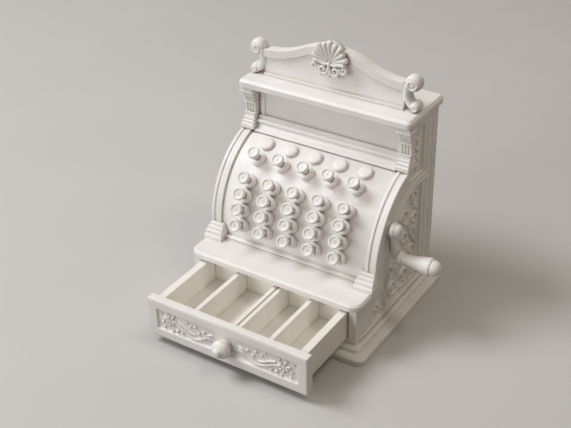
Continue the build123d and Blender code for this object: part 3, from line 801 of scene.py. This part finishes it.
@dataclass(frozen=True)
class Sides(Piece):
    """The mouldings and carved fields of both sides. Places are Y and Z of the row frame.

    Attributes:
        face_mm: The side's outer face, from the till's middle.
        sink_mm: How deep the carved fields lie under it.
        arch_centre: The centre of the quarter arch.
        field_radius_mm: The radius of the arched field.
        arch_beads: Gap from the field and radius of each bead round the arch.
        arch_foot: The heights between which those beads start upright.
        rail: Places along the level rail that they end in.
        fillets: Start, end and radius of each straight fillet.
        grid_mm: The carving's grid spacing.
        carving_mm: How proud the leaves stand.
        stems: Points, half widths and height of each stem of the arched field.
        rolls: Centre, radius, start angle, turns, half widths and height of each scroll.
        eyes: How many of the rolls, from the first, have a bead in the middle.
        leaves: Root, direction, length and curl of each leaf.
        pearls: The row of pearls at the foot: first place, spacing, height, radius and count.
        drop_y_mm: The middle of the narrow upper field.
        drop_tiers: The heights of its pairs of leaves.
    """

    title: str = "sides"
    face_mm: float = 36.4
    sink_mm: float = 0.9
    arch_centre: tuple[float, float] = (17.7, 28.4)
    field_radius_mm: float = 22.3
    arch_beads: Table = ((0.8, 0.7), (2.4, 0.55))
    arch_foot: tuple[float, ...] = (17.6, 22.0)
    rail: tuple[float, ...] = (20.0, 24.0, 27.5)
    fillets: tuple = (
        ((-26.5, 5.95), (31.0, 5.95), 0.6),
        ((24.2, 7.6), (24.2, 76.4), 0.4),
        ((28.6, 7.6), (28.6, 76.4), 0.32),
    )
    grid_mm: float = 0.2
    carving_mm: float = 0.95
    stems: tuple = (
        (((20.2, 9.2), (12, 8.8), (4, 9.6), (-5, 8.9), (-13.5, 9.4)), (0.8, 0.7, 0.6, 0.4), 0.9),
        (((20.4, 11), (20.8, 20), (20.0, 31), (20.6, 44), (20.2, 49)), (0.6, 0.6, 0.5, 0.3), 0.85),
        (((19.6, 12.0), (13.0, 18.0), (7.0, 24.5), (2.0, 31.0)), (0.7, 0.6, 0.5, 0.3), 0.95),
        (((19.0, 24.0), (15.0, 29.0), (12.5, 34.0), (11.5, 40.0)), (0.6, 0.6, 0.5, 0.3), 0.95),
    )
    rolls: tuple = (
        ((-2.6, 21.5), 3.6, 200, -1.5, (0.75, 0.65, 0.5), 1.1),
        ((1.6, 32.2), 3.5, 190, -1.5, (0.75, 0.65, 0.5), 1.1),
        ((8.0, 40.6), 3.5, 160, -1.5, (0.75, 0.65, 0.5), 1.1),
        ((15.6, 45.8), 3.0, 130, -1.5, (0.7, 0.6, 0.45), 1.1),
        ((9.0, 13.9), 3.6, -60, 1.5, (0.75, 0.65, 0.5), 1.1),
        ((0.2, 13.6), 3.2, -80, -1.5, (0.75, 0.6, 0.45), 1.1),
        ((14.6, 22.0), 3.4, -30, 1.5, (0.75, 0.6, 0.45), 1.1),
        ((8.0, 31.4), 2.9, -60, 1.4, (0.65, 0.55, 0.4), 1.05),
        ((16.4, 36.4), 2.9, -60, 1.4, (0.65, 0.55, 0.4), 1.05),
    )
    eyes: int = 7
    leaves: tuple = (
        ((20.0, 10.0), 150, 5.0, 40), ((4.6, 9.8), 60, 4.6, -50), ((-5.0, 9.2), 120, 5.2, -60),
        ((-9.5, 9.4), 100, 4.8, 40), ((-11.0, 10.0), 165, 3.8, -40), ((14.0, 9.4), 110, 3.4, 40),
        ((9.0, 20.5), 150, 5.0, 40), ((4.0, 25.5), 200, 4.6, -50), ((11.0, 24.0), 60, 4.4, -40),
        ((12.2, 36.0), 150, 4.2, 40), ((18.6, 28.6), 100, 4.4, 40), ((19.4, 40.0), 140, 3.8, 40),
        ((3.6, 18.2), 90, 4.4, 50), ((12.6, 28.0), 130, 3.8, 50), ((6.0, 35.6), 110, 3.6, -60),
        ((-6.6, 14.4), 100, 4.0, -40),
    )  # fmt: skip
    pearls: tuple[float, float, float, float, int] = (-13.0, 4.1, 7.9, 0.42, 9)
    drop_y_mm: float = 16.4
    drop_tiers: tuple[float, ...] = (58.6, 62.2, 65.8, 69.4)

    def dress(self) -> None:
        """Adds the mouldings, the scrolls of the quarter arch and the drop of leaves above it."""
        for hand in Hand:
            out = (hand.value, 0, 0)
            face = Panel((hand.value * self.face_mm, 0, 0), (0, 1, 0), (0, 0, 1), out)
            field = Panel((hand.value * (self.face_mm - self.sink_mm), 0, 0), (0, 1, 0), (0, 0, 1), out)
            self.attach(self.moulding(hand, face), "case", Finish.CASE)
            for name, strokes in (("carving", self.scrolls()), ("drop", self.drop())):
                made = field.relief(f"side_{name}_{hand.label}", strokes, self.grid_mm)
                self.attach(made, "case", Finish.CARVED)

    def moulding(self, hand: Hand, face: Panel) -> bpy.types.Object:
        """Beads along the arch and its rail, a fillet over the plinth and two up the back stile.

        Args:
            hand: Which side.
            face: The side's outer face.

        Returns:
            The new object.
        """
        skin = Skin(f"side_moulding_{hand.label}", face)
        y, z = self.arch_centre
        for gap, radius in self.arch_beads:
            reach = self.field_radius_mm + gap
            turn = np.radians(np.linspace(180, 90, 40))
            arch = np.stack([y + reach * np.cos(turn), z + reach * np.sin(turn)], axis=1)
            foot = [[y - reach, height] for height in self.arch_foot]
            rail = [[along, z + reach] for along in self.rail]
            skin.cord(np.vstack([foot, arch, rail]), (radius,), lift=0.05, flat=0.9)
        for low, high, radius in self.fillets:
            skin.cord(np.linspace(low, high, 24), (radius,), flat=0.8)
        return skin.build()

    def scrolls(self) -> list[Stroke]:
        """The acanthus scrolls of the quarter arch.

        Returns:
            Its strokes, across in Y and up in Z.
        """
        strokes = [Stroke(curve_through(points), widths, height) for points, widths, height in self.stems]
        for centre, radius, start, turns, widths, height in self.rolls:
            strokes.append(Stroke(volute(centre, radius, start, turns), widths, height))
        for root, way, length, curl in self.leaves:
            strokes += leaf(root, way, length, 3, curl, self.carving_mm)
        for (x, y), *_ in self.rolls[: self.eyes]:
            strokes.append(berry(x, y, 0.8, 1.2))
        first, spacing, height, radius, count = self.pearls
        for place in range(count):
            strokes.append(berry(first + spacing * place, height, radius, 0.7))
        return strokes

    def drop(self) -> list[Stroke]:
        """The drop of leaves in the narrow upper panel.

        Returns:
            Its strokes, across in Y and up in Z.
        """
        y = self.drop_y_mm
        stem = curve_through([(y, 57.0), (y - 0.5, 62), (y + 0.5, 67), (y, 73)])
        strokes = [Stroke(stem, (0.4, 0.7, 0.6, 0.3), 0.9)]
        for z in self.drop_tiers:
            strokes += leaf((y, z), 140, 3.9, 2, -50, self.carving_mm)
            strokes += leaf((y, z), 40, 3.9, 2, 50, self.carving_mm)
            strokes.append(berry(y, z + 0.6, 0.85, 1.15))
        strokes += leaf((y, 72.0), 90, 2.6, 2, 0, 0.9)
        return strokes


@dataclass(frozen=True)
class KeyBank(Piece):
    """The curved bank and its five by five keys.

    Attributes:
        axis: Y and Z of the bank's centre of curvature.
        radius_mm: The bank's radius.
        rows: Place on the curve and slope of the stems of each row, in degrees, from the top.
        columns: Keys in a row.
        pitch_mm: From one column to the next.
        shift_mm: How far the columns' middle lies from the till's.
        button_angle: Place of the row of buttons on the curve, in degrees.
        edge_mm: Rounding of the bank's own edges.
        cap: Outline of a key's cap, by height on the stem and radius, up to its dish.
        stem: Outline of a key's stem.
        collar: Outline of the collar that a stem comes out of.
        button: Outline of a button.
        numeral_mm: Height of a numeral.
        numeral_rise_mm: How proud it stands.
        numeral_edge_mm: The rounding of its edge.
    """

    title: str = "keys"
    axis: tuple[float, float] = (17.7, 28.4)
    radius_mm: float = 32.3
    rows: Table = ((52.5, 53.0), (36.0, 43.0), (25.5, 37.0), (15.5, 31.0), (4.5, 26.0))
    columns: int = 5
    pitch_mm: float = 10.956
    shift_mm: float = -0.5
    button_angle: float = 65.0
    edge_mm: float = 0.2
    cap: Table = (
        (5.3, 0.2), (5.3, 1.7), (5.34, 2.15), (5.5, 2.44), (5.8, 2.54), (6.4, 2.56), (6.72, 2.5),
        (6.92, 2.34), (7.0, 2.1), (6.96, 1.84), (6.8, 1.66), (6.6, 1.56), (6.52, 1.4), (6.5, 1.0), (6.5, 0.0),
    )  # fmt: skip
    stem: Table = (
        (-3.2, 0.3), (-3.2, 1.6), (-2.4, 1.6), (-2.3, 1.1), (0.0, 1.1), (4.9, 1.1), (5.25, 1.5), (5.4, 1.5),
    )  # fmt: skip
    collar: Table = (
        (-0.9, 2.2), (-0.9, 2.84), (1.5, 2.8), (1.9, 2.74), (2.14, 2.56), (2.22, 2.3), (2.22, 1.6),
        (2.1, 1.42), (1.2, 1.4),
    )  # fmt: skip
    button: Table = (
        (-0.9, 0.3), (-0.9, 2.78), (0.9, 2.76), (1.25, 2.62), (1.45, 2.3), (1.52, 1.6), (1.55, 0.0),
    )  # fmt: skip
    numeral_mm: float = 1.75
    numeral_rise_mm: float = 0.12
    numeral_edge_mm: float = 0.03

    def dress(self) -> None:
        """Paints the bank and makes its buttons, collars and keys."""
        self.paint(Finish.CASE, "key_bank")
        self.soften(self.edge_mm, "key_bank", segments=2)
        for column in range(self.columns):
            x = self.shift_mm + (column - (self.columns - 1) / 2) * self.pitch_mm
            button = Skin(f"bank_button_{column + 1}", self.seat(self.button_angle, self.button_angle, x))
            button.lathe(self.button)
            self.swap(button.build(), "case", Finish.CASE, "bank_buttons")
            for row, (angle, tilt) in enumerate(self.rows):
                self.key(row + 1, column + 1, self.seat(angle, tilt, x))

    def seat(self, angle: float, tilt: float, x: float) -> Panel:
        """The plane on the bank that a key's stem stands square to.

        Args:
            angle: The place on the bank's curve, in degrees above level.
            tilt: The stem's slope in degrees.
            x: The column's place.

        Returns:
            The plane.
        """
        turn, slope = math.radians(angle), math.radians(tilt)
        y = self.axis[0] - self.radius_mm * math.cos(turn)
        z = self.axis[1] + self.radius_mm * math.sin(turn)
        out = (0.0, -math.cos(slope), math.sin(slope))
        return Panel((x, y, z), (1.0, 0.0, 0.0), (0.0, math.sin(slope), math.cos(slope)), out)

    def key(self, row: int, column: int, seat: Panel) -> None:
        """Makes one key, its numeral and its collar.

        Args:
            row: Its row, from the top.
            column: Its column, from the left.
            seat: The plane that its stem stands square to.
        """
        body = f"key_{row}_{column}"
        skin = Skin(f"key_{row}_{column}_turned", seat)
        skin.lathe(self.cap)
        skin.lathe(self.stem, around=24)
        self.swap(skin.build(), body, Finish.HANDLED, f"key_r{row}_c{column}")
        self.attach(self.numeral(row, column, seat), body, Finish.HANDLED)
        collar = Skin(f"collar_{row}_{column}", seat)
        collar.lathe(self.collar)
        self.attach(collar.build(), "case", Finish.CASE)

    def numeral(self, row: int, column: int, seat: Panel) -> bpy.types.Object:
        """A plain raised number on a key's dish.

        Args:
            row: The key's row.
            column: The key's column.
            seat: The plane that its stem stands square to.

        Returns:
            The number.
        """
        name = f"numeral_{row}_{column}"
        data = bpy.data.curves.new(name, "FONT")
        data.body = str(self.columns * (row - 1) + column)
        data.align_x = "CENTER"
        data.align_y = "CENTER"
        data.size = self.numeral_mm * MM
        data.extrude = self.numeral_rise_mm * MM
        data.bevel_depth = self.numeral_edge_mm * MM
        made = bpy.data.objects.new(name, data)
        dish = self.cap[-1][0]
        place = Vector(seat.place(np.array(0.0), np.array(0.0), np.array(dish)).tolist())
        turn = Matrix([Vector(seat.across), Vector(seat.up), Vector(seat.out)]).transposed().to_4x4()
        made.matrix_world = Matrix.Translation(place) @ turn
        bpy.context.scene.collection.objects.link(made)
        return made


@dataclass(frozen=True)
class Drawer(Piece):
    """The drawer, its carved front and its knob.

    Attributes:
        front_mm: Y of the sunk field that the carving stands on.
        field_z_mm: The field's middle height.
        knob_z_mm: The knob's height.
        front_edge_mm: Rounding of the front's edges.
        board_edge_mm: Rounding of the box's boards.
        grid_mm: The carving's grid spacing.
        knob: Outline of the knob, by distance from the field and radius.
        left_rise_mm: How much higher the left half's flower stands.
        berries: Place and radius of each berry, away from the knob.
        flower_x_mm: The flower's middle, from the knob.
        petals: Its petals.
    """

    title: str = "drawer"
    front_mm: float = -59.45
    field_z_mm: float = 11.7
    knob_z_mm: float = 11.5
    front_edge_mm: float = 0.4
    board_edge_mm: float = 0.25
    grid_mm: float = 0.13
    knob: Table = (
        (0.0, 2.5), (0.45, 2.6), (0.9, 2.0), (1.5, 2.5), (2.4, 3.45), (3.4, 3.7), (4.4, 3.4), (5.2, 2.5),
        (5.6, 1.8), (5.9, 1.62), (6.5, 1.55), (6.86, 1.2), (6.98, 0.6), (7.0, 0.02),
    )  # fmt: skip
    left_rise_mm: float = 0.5
    berries: Table = (
        (9.7, 1.5, 0.72), (11.9, 0.1, 0.74), (13.4, 2.5, 0.68), (15.7, 1.7, 0.6), (17.2, 2.9, 0.5),
        (19.6, -2.9, 0.7), (21.9, -2.7, 0.92), (24.0, -3.5, 0.5), (27.6, 1.4, 0.72), (28.3, -0.6, 0.74),
        (27.9, -2.9, 0.6), (26.3, 3.2, 0.62), (23.2, 3.3, 0.55), (29.2, 2.8, 0.45),
    )  # fmt: skip
    flower_x_mm: float = 24.9
    petals: int = 7

    def dress(self) -> None:
        """Paints the box, carves the front and turns the knob."""
        boards = ("drawer_left_wall", "drawer_right_wall", "drawer_dividers", "drawer_back")
        self.paint(Finish.INSIDE, *boards, "drawer_floor")
        self.paint(Finish.CASE, "drawer_front")
        self.paint(Finish.HANDLED, "drawer_knob")
        self.soften(self.front_edge_mm, "drawer_front", segments=4)
        self.soften(self.board_edge_mm, *boards)
        panel = self.field(self.field_z_mm)
        for hand in Hand:
            made = panel.relief(f"drawer_vine_{hand.label}", self.vine(hand), self.grid_mm)
            self.attach(made, "drawer", Finish.CARVED)
        knob = Skin("drawer_knob_turned", self.field(self.knob_z_mm))
        knob.lathe(np.clip(curve_through(self.knob, 6), 0, None))
        self.swap(knob.build(), "drawer", Finish.HANDLED, "drawer_knob")

    def field(self, height_mm: float) -> Panel:
        """The front's sunk field, with (0, 0) in its middle at a height."""
        return Panel((0, self.front_mm, height_mm), (1, 0, 0), (0, 0, 1), (0, -1, 0))

    def vine(self, hand: Hand) -> list[Stroke]:
        """Half of the vine across the drawer's front.

        Args:
            hand: Which half.

        Returns:
            Its strokes, across from the knob and up from the field's middle.
        """
        rise = self.left_rise_mm if hand is Hand.LEFT else 0.0
        bough = curve_through(
            [(8.2, -0.2), (10.6, -2.0), (13.6, -2.9), (17.2, -2.0), (20.2, -0.5), (23.0, 0.3 + rise)]
        )
        twig = curve_through([(13.8, -1.5), (16.4, -0.9), (19.0, 0.6), (21.4, 1.2 + rise)])
        strokes = [
            Stroke(bough, (0.3, 0.5, 0.55, 0.5, 0.45), 0.95),
            Stroke(twig, (0.3, 0.45, 0.4), 0.9),
            Stroke(curve_through([(5.6, 1.6), (7.2, 1.1), (9.0, 0.3)]), (0.35, 0.6, 0.25), 0.85),
            Stroke(curve_through([(5.8, 0.2), (7.4, -0.2), (9.0, -0.8)]), (0.3, 0.5, 0.2), 0.8),
        ]
        for x, y, radius in self.berries:
            strokes.append(berry(x, y, radius, 1.05))
        flower = np.array([self.flower_x_mm, 0.4 + rise])
        for petal in range(self.petals):
            way = math.radians(20 + petal * 360 / self.petals)
            ahead = np.array([math.cos(way), math.sin(way)])
            line = np.linspace(flower + 0.5 * ahead, flower + 2.5 * ahead, 9)
            strokes.append(Stroke(line, (0.2, 0.5, 0.6, 0.4), 0.95))
        strokes.append(berry(flower[0], flower[1], 0.55, 1.0))
        return [Stroke(s.line * np.array([hand.value, 1]), s.widths, s.height) for s in strokes]


@dataclass(frozen=True)
class Crank(Piece):
    """The crank and its turning grip.

    Attributes:
        shaft: Y and Z of the shaft.
        grip_pin: Y and Z of the grip's pin.
        arm_face_mm: X of the arm's outer face.
        grip_start_mm: X where the grip starts.
        arm_edge_mm: Rounding of the arm's edges.
        hub: Outline of the hub's dome, by distance from the arm and radius.
        grip: Outline of the grip, by distance from its start and radius.
    """

    title: str = "crank"
    shaft: tuple[float, float] = (-5.67886, 44.16924)
    grip_pin: tuple[float, float] = (-2.9873, 30.9403)
    arm_face_mm: float = 37.7
    grip_start_mm: float = 40.0
    arm_edge_mm: float = 0.45
    hub: Table = (
        (0.2, 2.9), (1.6, 2.95), (1.9, 2.8), (2.1, 2.5), (2.5, 2.45), (3.3, 2.2), (4.0, 1.7), (4.4, 1.0),
        (4.5, 0.02),
    )  # fmt: skip
    grip: Table = (
        (0.0, 2.5), (0.9, 2.62), (1.5, 2.45), (2.1, 2.02), (4.0, 2.1), (7.5, 2.65), (10.5, 3.25),
        (12.4, 3.48), (13.2, 3.42), (13.5, 3.1), (13.75, 2.98), (14.0, 3.05), (15.2, 2.85), (16.3, 2.2),
        (17.0, 1.2), (17.2, 0.02),
    )  # fmt: skip

    def dress(self) -> None:
        """Paints and softens the arm, and turns its hub and the grip."""
        self.paint(Finish.HANDLED, "crank_axle", "crank_arm")
        self.soften(self.arm_edge_mm, "crank_arm")
        hub = Skin("crank_hub_dome", self.across(self.arm_face_mm, self.shaft))
        hub.lathe(self.hub)
        self.attach(hub.build(), "crank", Finish.HANDLED)
        grip = Skin("crank_grip_turned", self.across(self.grip_start_mm, self.grip_pin))
        grip.lathe(curve_through(self.grip, 5))
        self.swap(grip.build(), "grip", Finish.HANDLED, "crank_grip")

    def across(self, x_mm: float, axis: tuple[float, float]) -> Panel:
        """The plane across an axis of the crank, facing outwards."""
        return Panel((x_mm, *axis), (0, 1, 0), (0, 0, 1), (1, 0, 0))


@dataclass(frozen=True)
class Crest(Piece):
    """The crest on the cap: board, shell and scrolled ends.

    Attributes:
        cap_top_mm: Z of the cap slab's top.
        board_face_mm: Y of the crest board's face.
        board_edge_mm: Rounding of the board's edges.
        shell_z_mm: Z of the shell's middle.
        scroll_face_mm: Y of the scrolls' faces.
        scroll_rolls: Place over the cap's top, radius and cord radius of each roll of an end.
        roll: Outline of a roll, by distance from its face and share of its radius.
        stem: Middle line of the stem that joins them.
        shell_back: Outline of the shell's domed back.
        ribs: Ribs of the shell.
        rib_reach_mm: How far every other rib goes, and how far the ribs between go.
        rib_radii: Radii along a rib.
        base_curls: Place, radius and cord radius of the small scrolls under the shell.
        studs_x_mm: Places of the studs in its base.
    """

    title: str = "crest"
    cap_top_mm: float = 81.5
    board_face_mm: float = 15.5
    board_edge_mm: float = 1.1
    shell_z_mm: float = 95.7
    scroll_face_mm: float = 14.3
    scroll_rolls: tuple = (((33.3, 10.9), 3.2, 0.5), ((34.5, 2.0), 2.0, 0.34))
    roll: Table = (
        (-5.2, 0.0), (-5.2, 0.5), (-4.9, 0.78), (-4.2, 0.95), (-3.2, 1.0), (-1.6, 1.0), (-0.7, 0.93),
        (-0.1, 0.74), (0.15, 0.4), (0.2, 0.0),
    )  # fmt: skip
    stem: Table = ((33.6, 1.7), (31.7, 4.0), (31.0, 6.6), (31.4, 11.0))
    shell_back: Table = ((-1.6, 5.9), (0.6, 5.9), (1.4, 5.5), (2.0, 4.2), (2.2, 2.0), (2.2, 0.0))
    ribs: int = 11
    rib_reach_mm: tuple[float, float] = (6.4, 6.95)
    rib_radii: tuple[float, ...] = (0.3, 0.45, 0.7, 0.95, 1.15, 1.1)
    base_curls: Table = ((2.5, -4.6, 2.2, 0.75), (6.0, -3.6, 1.7, 0.6))
    studs_x_mm: tuple[float, ...] = (-3.6, 0.0, 3.6)

    def dress(self) -> None:
        """Paints and softens the crest, and adds its shell and volutes."""
        self.paint(Finish.CARVED, "crest_board")
        self.soften(self.board_edge_mm, "crest_board", segments=5)
        self.swap(self.shell(), "case", Finish.CARVED, "crest_shell")
        for hand in Hand:
            self.swap(self.scroll(hand), "case", Finish.CARVED, f"crest_scroll_{hand.label}")

    def scroll(self, hand: Hand) -> bpy.types.Object:
        """A scrolled end: a roll over a smaller one, joined by a curved stem.

        Args:
            hand: Which end.

        Returns:
            The new object.
        """
        side = hand.value
        face = Panel((0, self.scroll_face_mm, self.cap_top_mm), (1, 0, 0), (0, 0, 1), (0, -1, 0))
        skin = Skin(f"crest_scroll_{hand.label}_carved", face)
        for (x, z), radius, width in self.scroll_rolls:
            skin.lathe([(out, share * radius) for out, share in self.roll], centre=(side * x, z))
            line = volute((side * x, z), 0.68 * radius, 90 - side * 90, -1.5 * side, inner=0.12)
            skin.cord(line, (width, 0.8 * width, 0.6 * width), lift=0.05)
        stem = curve_through([(side * x, z) for x, z in self.stem])
        skin.cord(stem, (1.7, 1.7, 1.8, 1.9), lift=-2.5, flat=1.45)
        return skin.build()

    def shell(self) -> bpy.types.Object:
        """The shell: rounded ribs that fan out over a domed back, on a base of small scrolls.

        Returns:
            The new object.
        """
        back = Panel((0, self.board_face_mm, self.shell_z_mm), (1, 0, 0), (0, 0, 1), (0, -1, 0))
        skin = Skin("crest_shell_carved", back)
        skin.lathe(self.shell_back)
        for rib in range(self.ribs):
            way = math.radians(-14 + rib * 208 / (self.ribs - 1))
            ahead = np.array([math.cos(way), math.sin(way)])
            ahead *= np.array([1.1, 1.0])
            start = np.array([0.0, -1.4]) + 0.9 * ahead
            line = np.linspace(start, self.rib_reach_mm[rib % 2] * ahead, 24)
            skin.cord(line, self.rib_radii, lift=2.1, flat=1.1)
        for side in (-1, 1):
            for x, z, radius, width in self.base_curls:
                line = volute((side * x, z), radius, 90 + side * 60, 1.5 * side, inner=0.15)
                skin.cord(line, (width, 0.9 * width, 0.7 * width), lift=2.5)
            tendril = curve_through([(0.0, -1.6), (side * 1.6, -2.4), (side * 4.4, -1.9), (side * 7.0, -2.2)])
            skin.cord(tendril, (0.4, 0.6, 0.6, 0.35), lift=2.5)
        skin.cord(np.linspace((0, -1.0), (0, -6.4), 12), (0.5, 0.8, 0.7, 0.4), lift=2.5)
        stud = ((1.0, 0.1), (1.6, 0.8), (2.6, 0.8), (3.1, 0.5), (3.3, 0.02))
        for x in self.studs_x_mm:
            skin.lathe(stud, centre=(x, -6.6), around=20)
        return skin.build()


# ---------------------------------------------------------------- stage


@dataclass(frozen=True)
class Camera:
    """The viewpoint of the photograph.

    Attributes:
        place_mm: Where it stands.
        right: Its sideways direction.
        down: Its downward direction.
        forward: The way it looks.
        focal_px: Focal length in pixels.
        width_px: Picture width in pixels.
        sensor_mm: Width of the sensor that the focal length is given for.
    """

    place_mm: tuple[float, float, float] = (185.659, -302.817, 257.950)
    right: tuple[float, float, float] = (0.84312663, 0.53743494, -0.01735444)
    down: tuple[float, float, float] = (0.27296146, -0.45558202, -0.84731167)
    forward: tuple[float, float, float] = (-0.46328127, 0.70965394, -0.53081236)
    focal_px: float = 1076.955
    width_px: float = 571.0
    sensor_mm: float = 36.0

    def build(self) -> None:
        """Makes the camera and sets it as the scene's own."""
        data = bpy.data.cameras.new("photo_camera")
        data.sensor_fit = "HORIZONTAL"
        data.sensor_width = self.sensor_mm
        data.lens = self.sensor_mm * self.focal_px / self.width_px
        data.clip_start = 0.01
        camera = bpy.data.objects.new("photo_camera", data)
        columns = [Vector(self.right), -Vector(self.down), -Vector(self.forward)]
        turn = Matrix(columns).transposed().to_4x4()
        camera.matrix_world = Matrix.Translation(Vector(self.place_mm) * MM) @ turn
        bpy.context.scene.collection.objects.link(camera)
        bpy.context.scene.camera = camera
        LOG.info("stage: %s", camera.name)


@dataclass(frozen=True)
class Lamp:
    """A soft square lamp.

    Attributes:
        name: Its name.
        place: Where it hangs.
        size: Its side.
        watts: Its power.
        colour: Its colour.
        aim: The point it faces.
    """

    name: str
    place: tuple[float, float, float]
    size: float
    watts: float
    colour: str
    aim: tuple[float, float, float] = (0.0, 0.0, 0.045)

    def build(self) -> None:
        """Hangs the lamp, facing the till's middle."""
        data = bpy.data.lights.new(self.name, "AREA")
        data.shape = "SQUARE"
        data.size = self.size
        data.energy = self.watts
        data.color = srgb(self.colour)[:3]
        lamp = bpy.data.objects.new(self.name, data)
        way = Vector(self.aim) - Vector(self.place)
        turn = way.to_track_quat("-Z", "Y").to_matrix().to_4x4()
        lamp.matrix_world = Matrix.Translation(self.place) @ turn
        bpy.context.scene.collection.objects.link(lamp)
        LOG.info("stage: %s", lamp.name)


@dataclass(frozen=True)
class TableFinish:
    """A pale matt laminate that throws little light back at the till.

    Attributes:
        name: What the material is called.
        seen_colours: The two tones of its faint clouds, as they are seen.
        lit_colour: Its colour to the light that it throws back.
        cloud_mm: Size of the clouds.
        roughness: Its roughness.
    """

    name: str = "table_laminate"
    seen_colours: tuple[str, str] = ("#c9c8c6", "#d1d0cd")
    lit_colour: str = "#6a655e"
    cloud_mm: float = 60.0
    roughness: float = 0.7

    def build(self) -> bpy.types.Material:
        """Makes the material.

        Returns:
            The finished material.
        """
        material, tree = new_material(self.name)
        place = add_node(tree, "TexCoord").outputs["Object"]
        clouds = add_node(tree, "TexNoise", Vector=place, Scale=1 / (self.cloud_mm * MM), Detail=3.0)
        mix = {"data_type": "RGBA"}
        first, second = (srgb(code) for code in self.seen_colours)
        pale = add_node(tree, "Mix", mix, i0=clouds.outputs["Fac"], i6=first, i7=second)
        tone = add_node(tree, "Mix", mix, i0=seen(tree), i6=srgb(self.lit_colour), i7=pale.outputs[2])
        shader = add_node(
            tree,
            "BsdfPrincipled",
            Base_Color=tone.outputs[2],
            Roughness=self.roughness,
            IOR=1.5,
            Metallic=0.0,
        )
        add_node(tree, "OutputMaterial", Surface=shader.outputs["BSDF"])
        return material


@dataclass(frozen=True)
class Studio:
    """A plain pale table under soft lamps.

    Attributes:
        reach: Half of the table's side.
        lamps: The lamps.
        table: The table's finish.
        air: Colour and strength of the light that comes from all round.
        wall: Colour and strength of the wall behind the table, as it is seen.
    """

    reach: float = 2.0
    lamps: tuple[Lamp, ...] = (
        Lamp("window", (-0.62, -0.28, 0.86), 0.42, 6.9, "#f6f8ff"),
        Lamp("ceiling", (0.42, 0.10, 0.92), 0.22, 1.2, "#fff2e2"),
        Lamp("room", (-0.38, -0.85, 0.34), 0.5, 2.7, "#fbfcff"),
    )
    table: TableFinish = TableFinish()
    air: tuple[str, float] = ("#f1e4d3", 0.3)
    wall: tuple[str, float] = ("#c6c4c0", 1.0)

    def build(self) -> None:
        """Makes the table, the lamps and the air around them."""
        r = self.reach
        table = mesh_object("table_top", [(-r, -r, 0), (r, -r, 0), (r, r, 0), (-r, r, 0)], [(0, 1, 2, 3)])
        table.data.materials.append(self.table.build())
        LOG.info("stage: %s", table.name)
        for lamp in self.lamps:
            lamp.build()
        world = bpy.data.worlds.new("studio_air")
        world.use_nodes = True
        tree = world.node_tree
        tree.nodes.clear()
        air, wall = (
            add_node(tree, "Background", Color=srgb(code), Strength=strength).outputs["Background"]
            for code, strength in (self.air, self.wall)
        )
        shown = add_node(tree, "MixShader", i0=seen(tree), i1=air, i2=wall)
        add_node(tree, "OutputWorld", Surface=shown.outputs["Shader"])
        bpy.context.scene.world = world
        bpy.context.scene.view_settings.view_transform = "Standard"


def main() -> None:
    """Builds the till's look, the stage and the camera."""
    logging.basicConfig(level=logging.INFO, format="%(name)s: %(message)s")
    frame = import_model()
    paints = Paints()
    for kind in (Case, Sides, KeyBank, Drawer, Crank, Crest):
        kind(frame["nodes"], paints).dress()
    Studio().build()
    Camera().build()


if __name__ == "__main__":
    main()
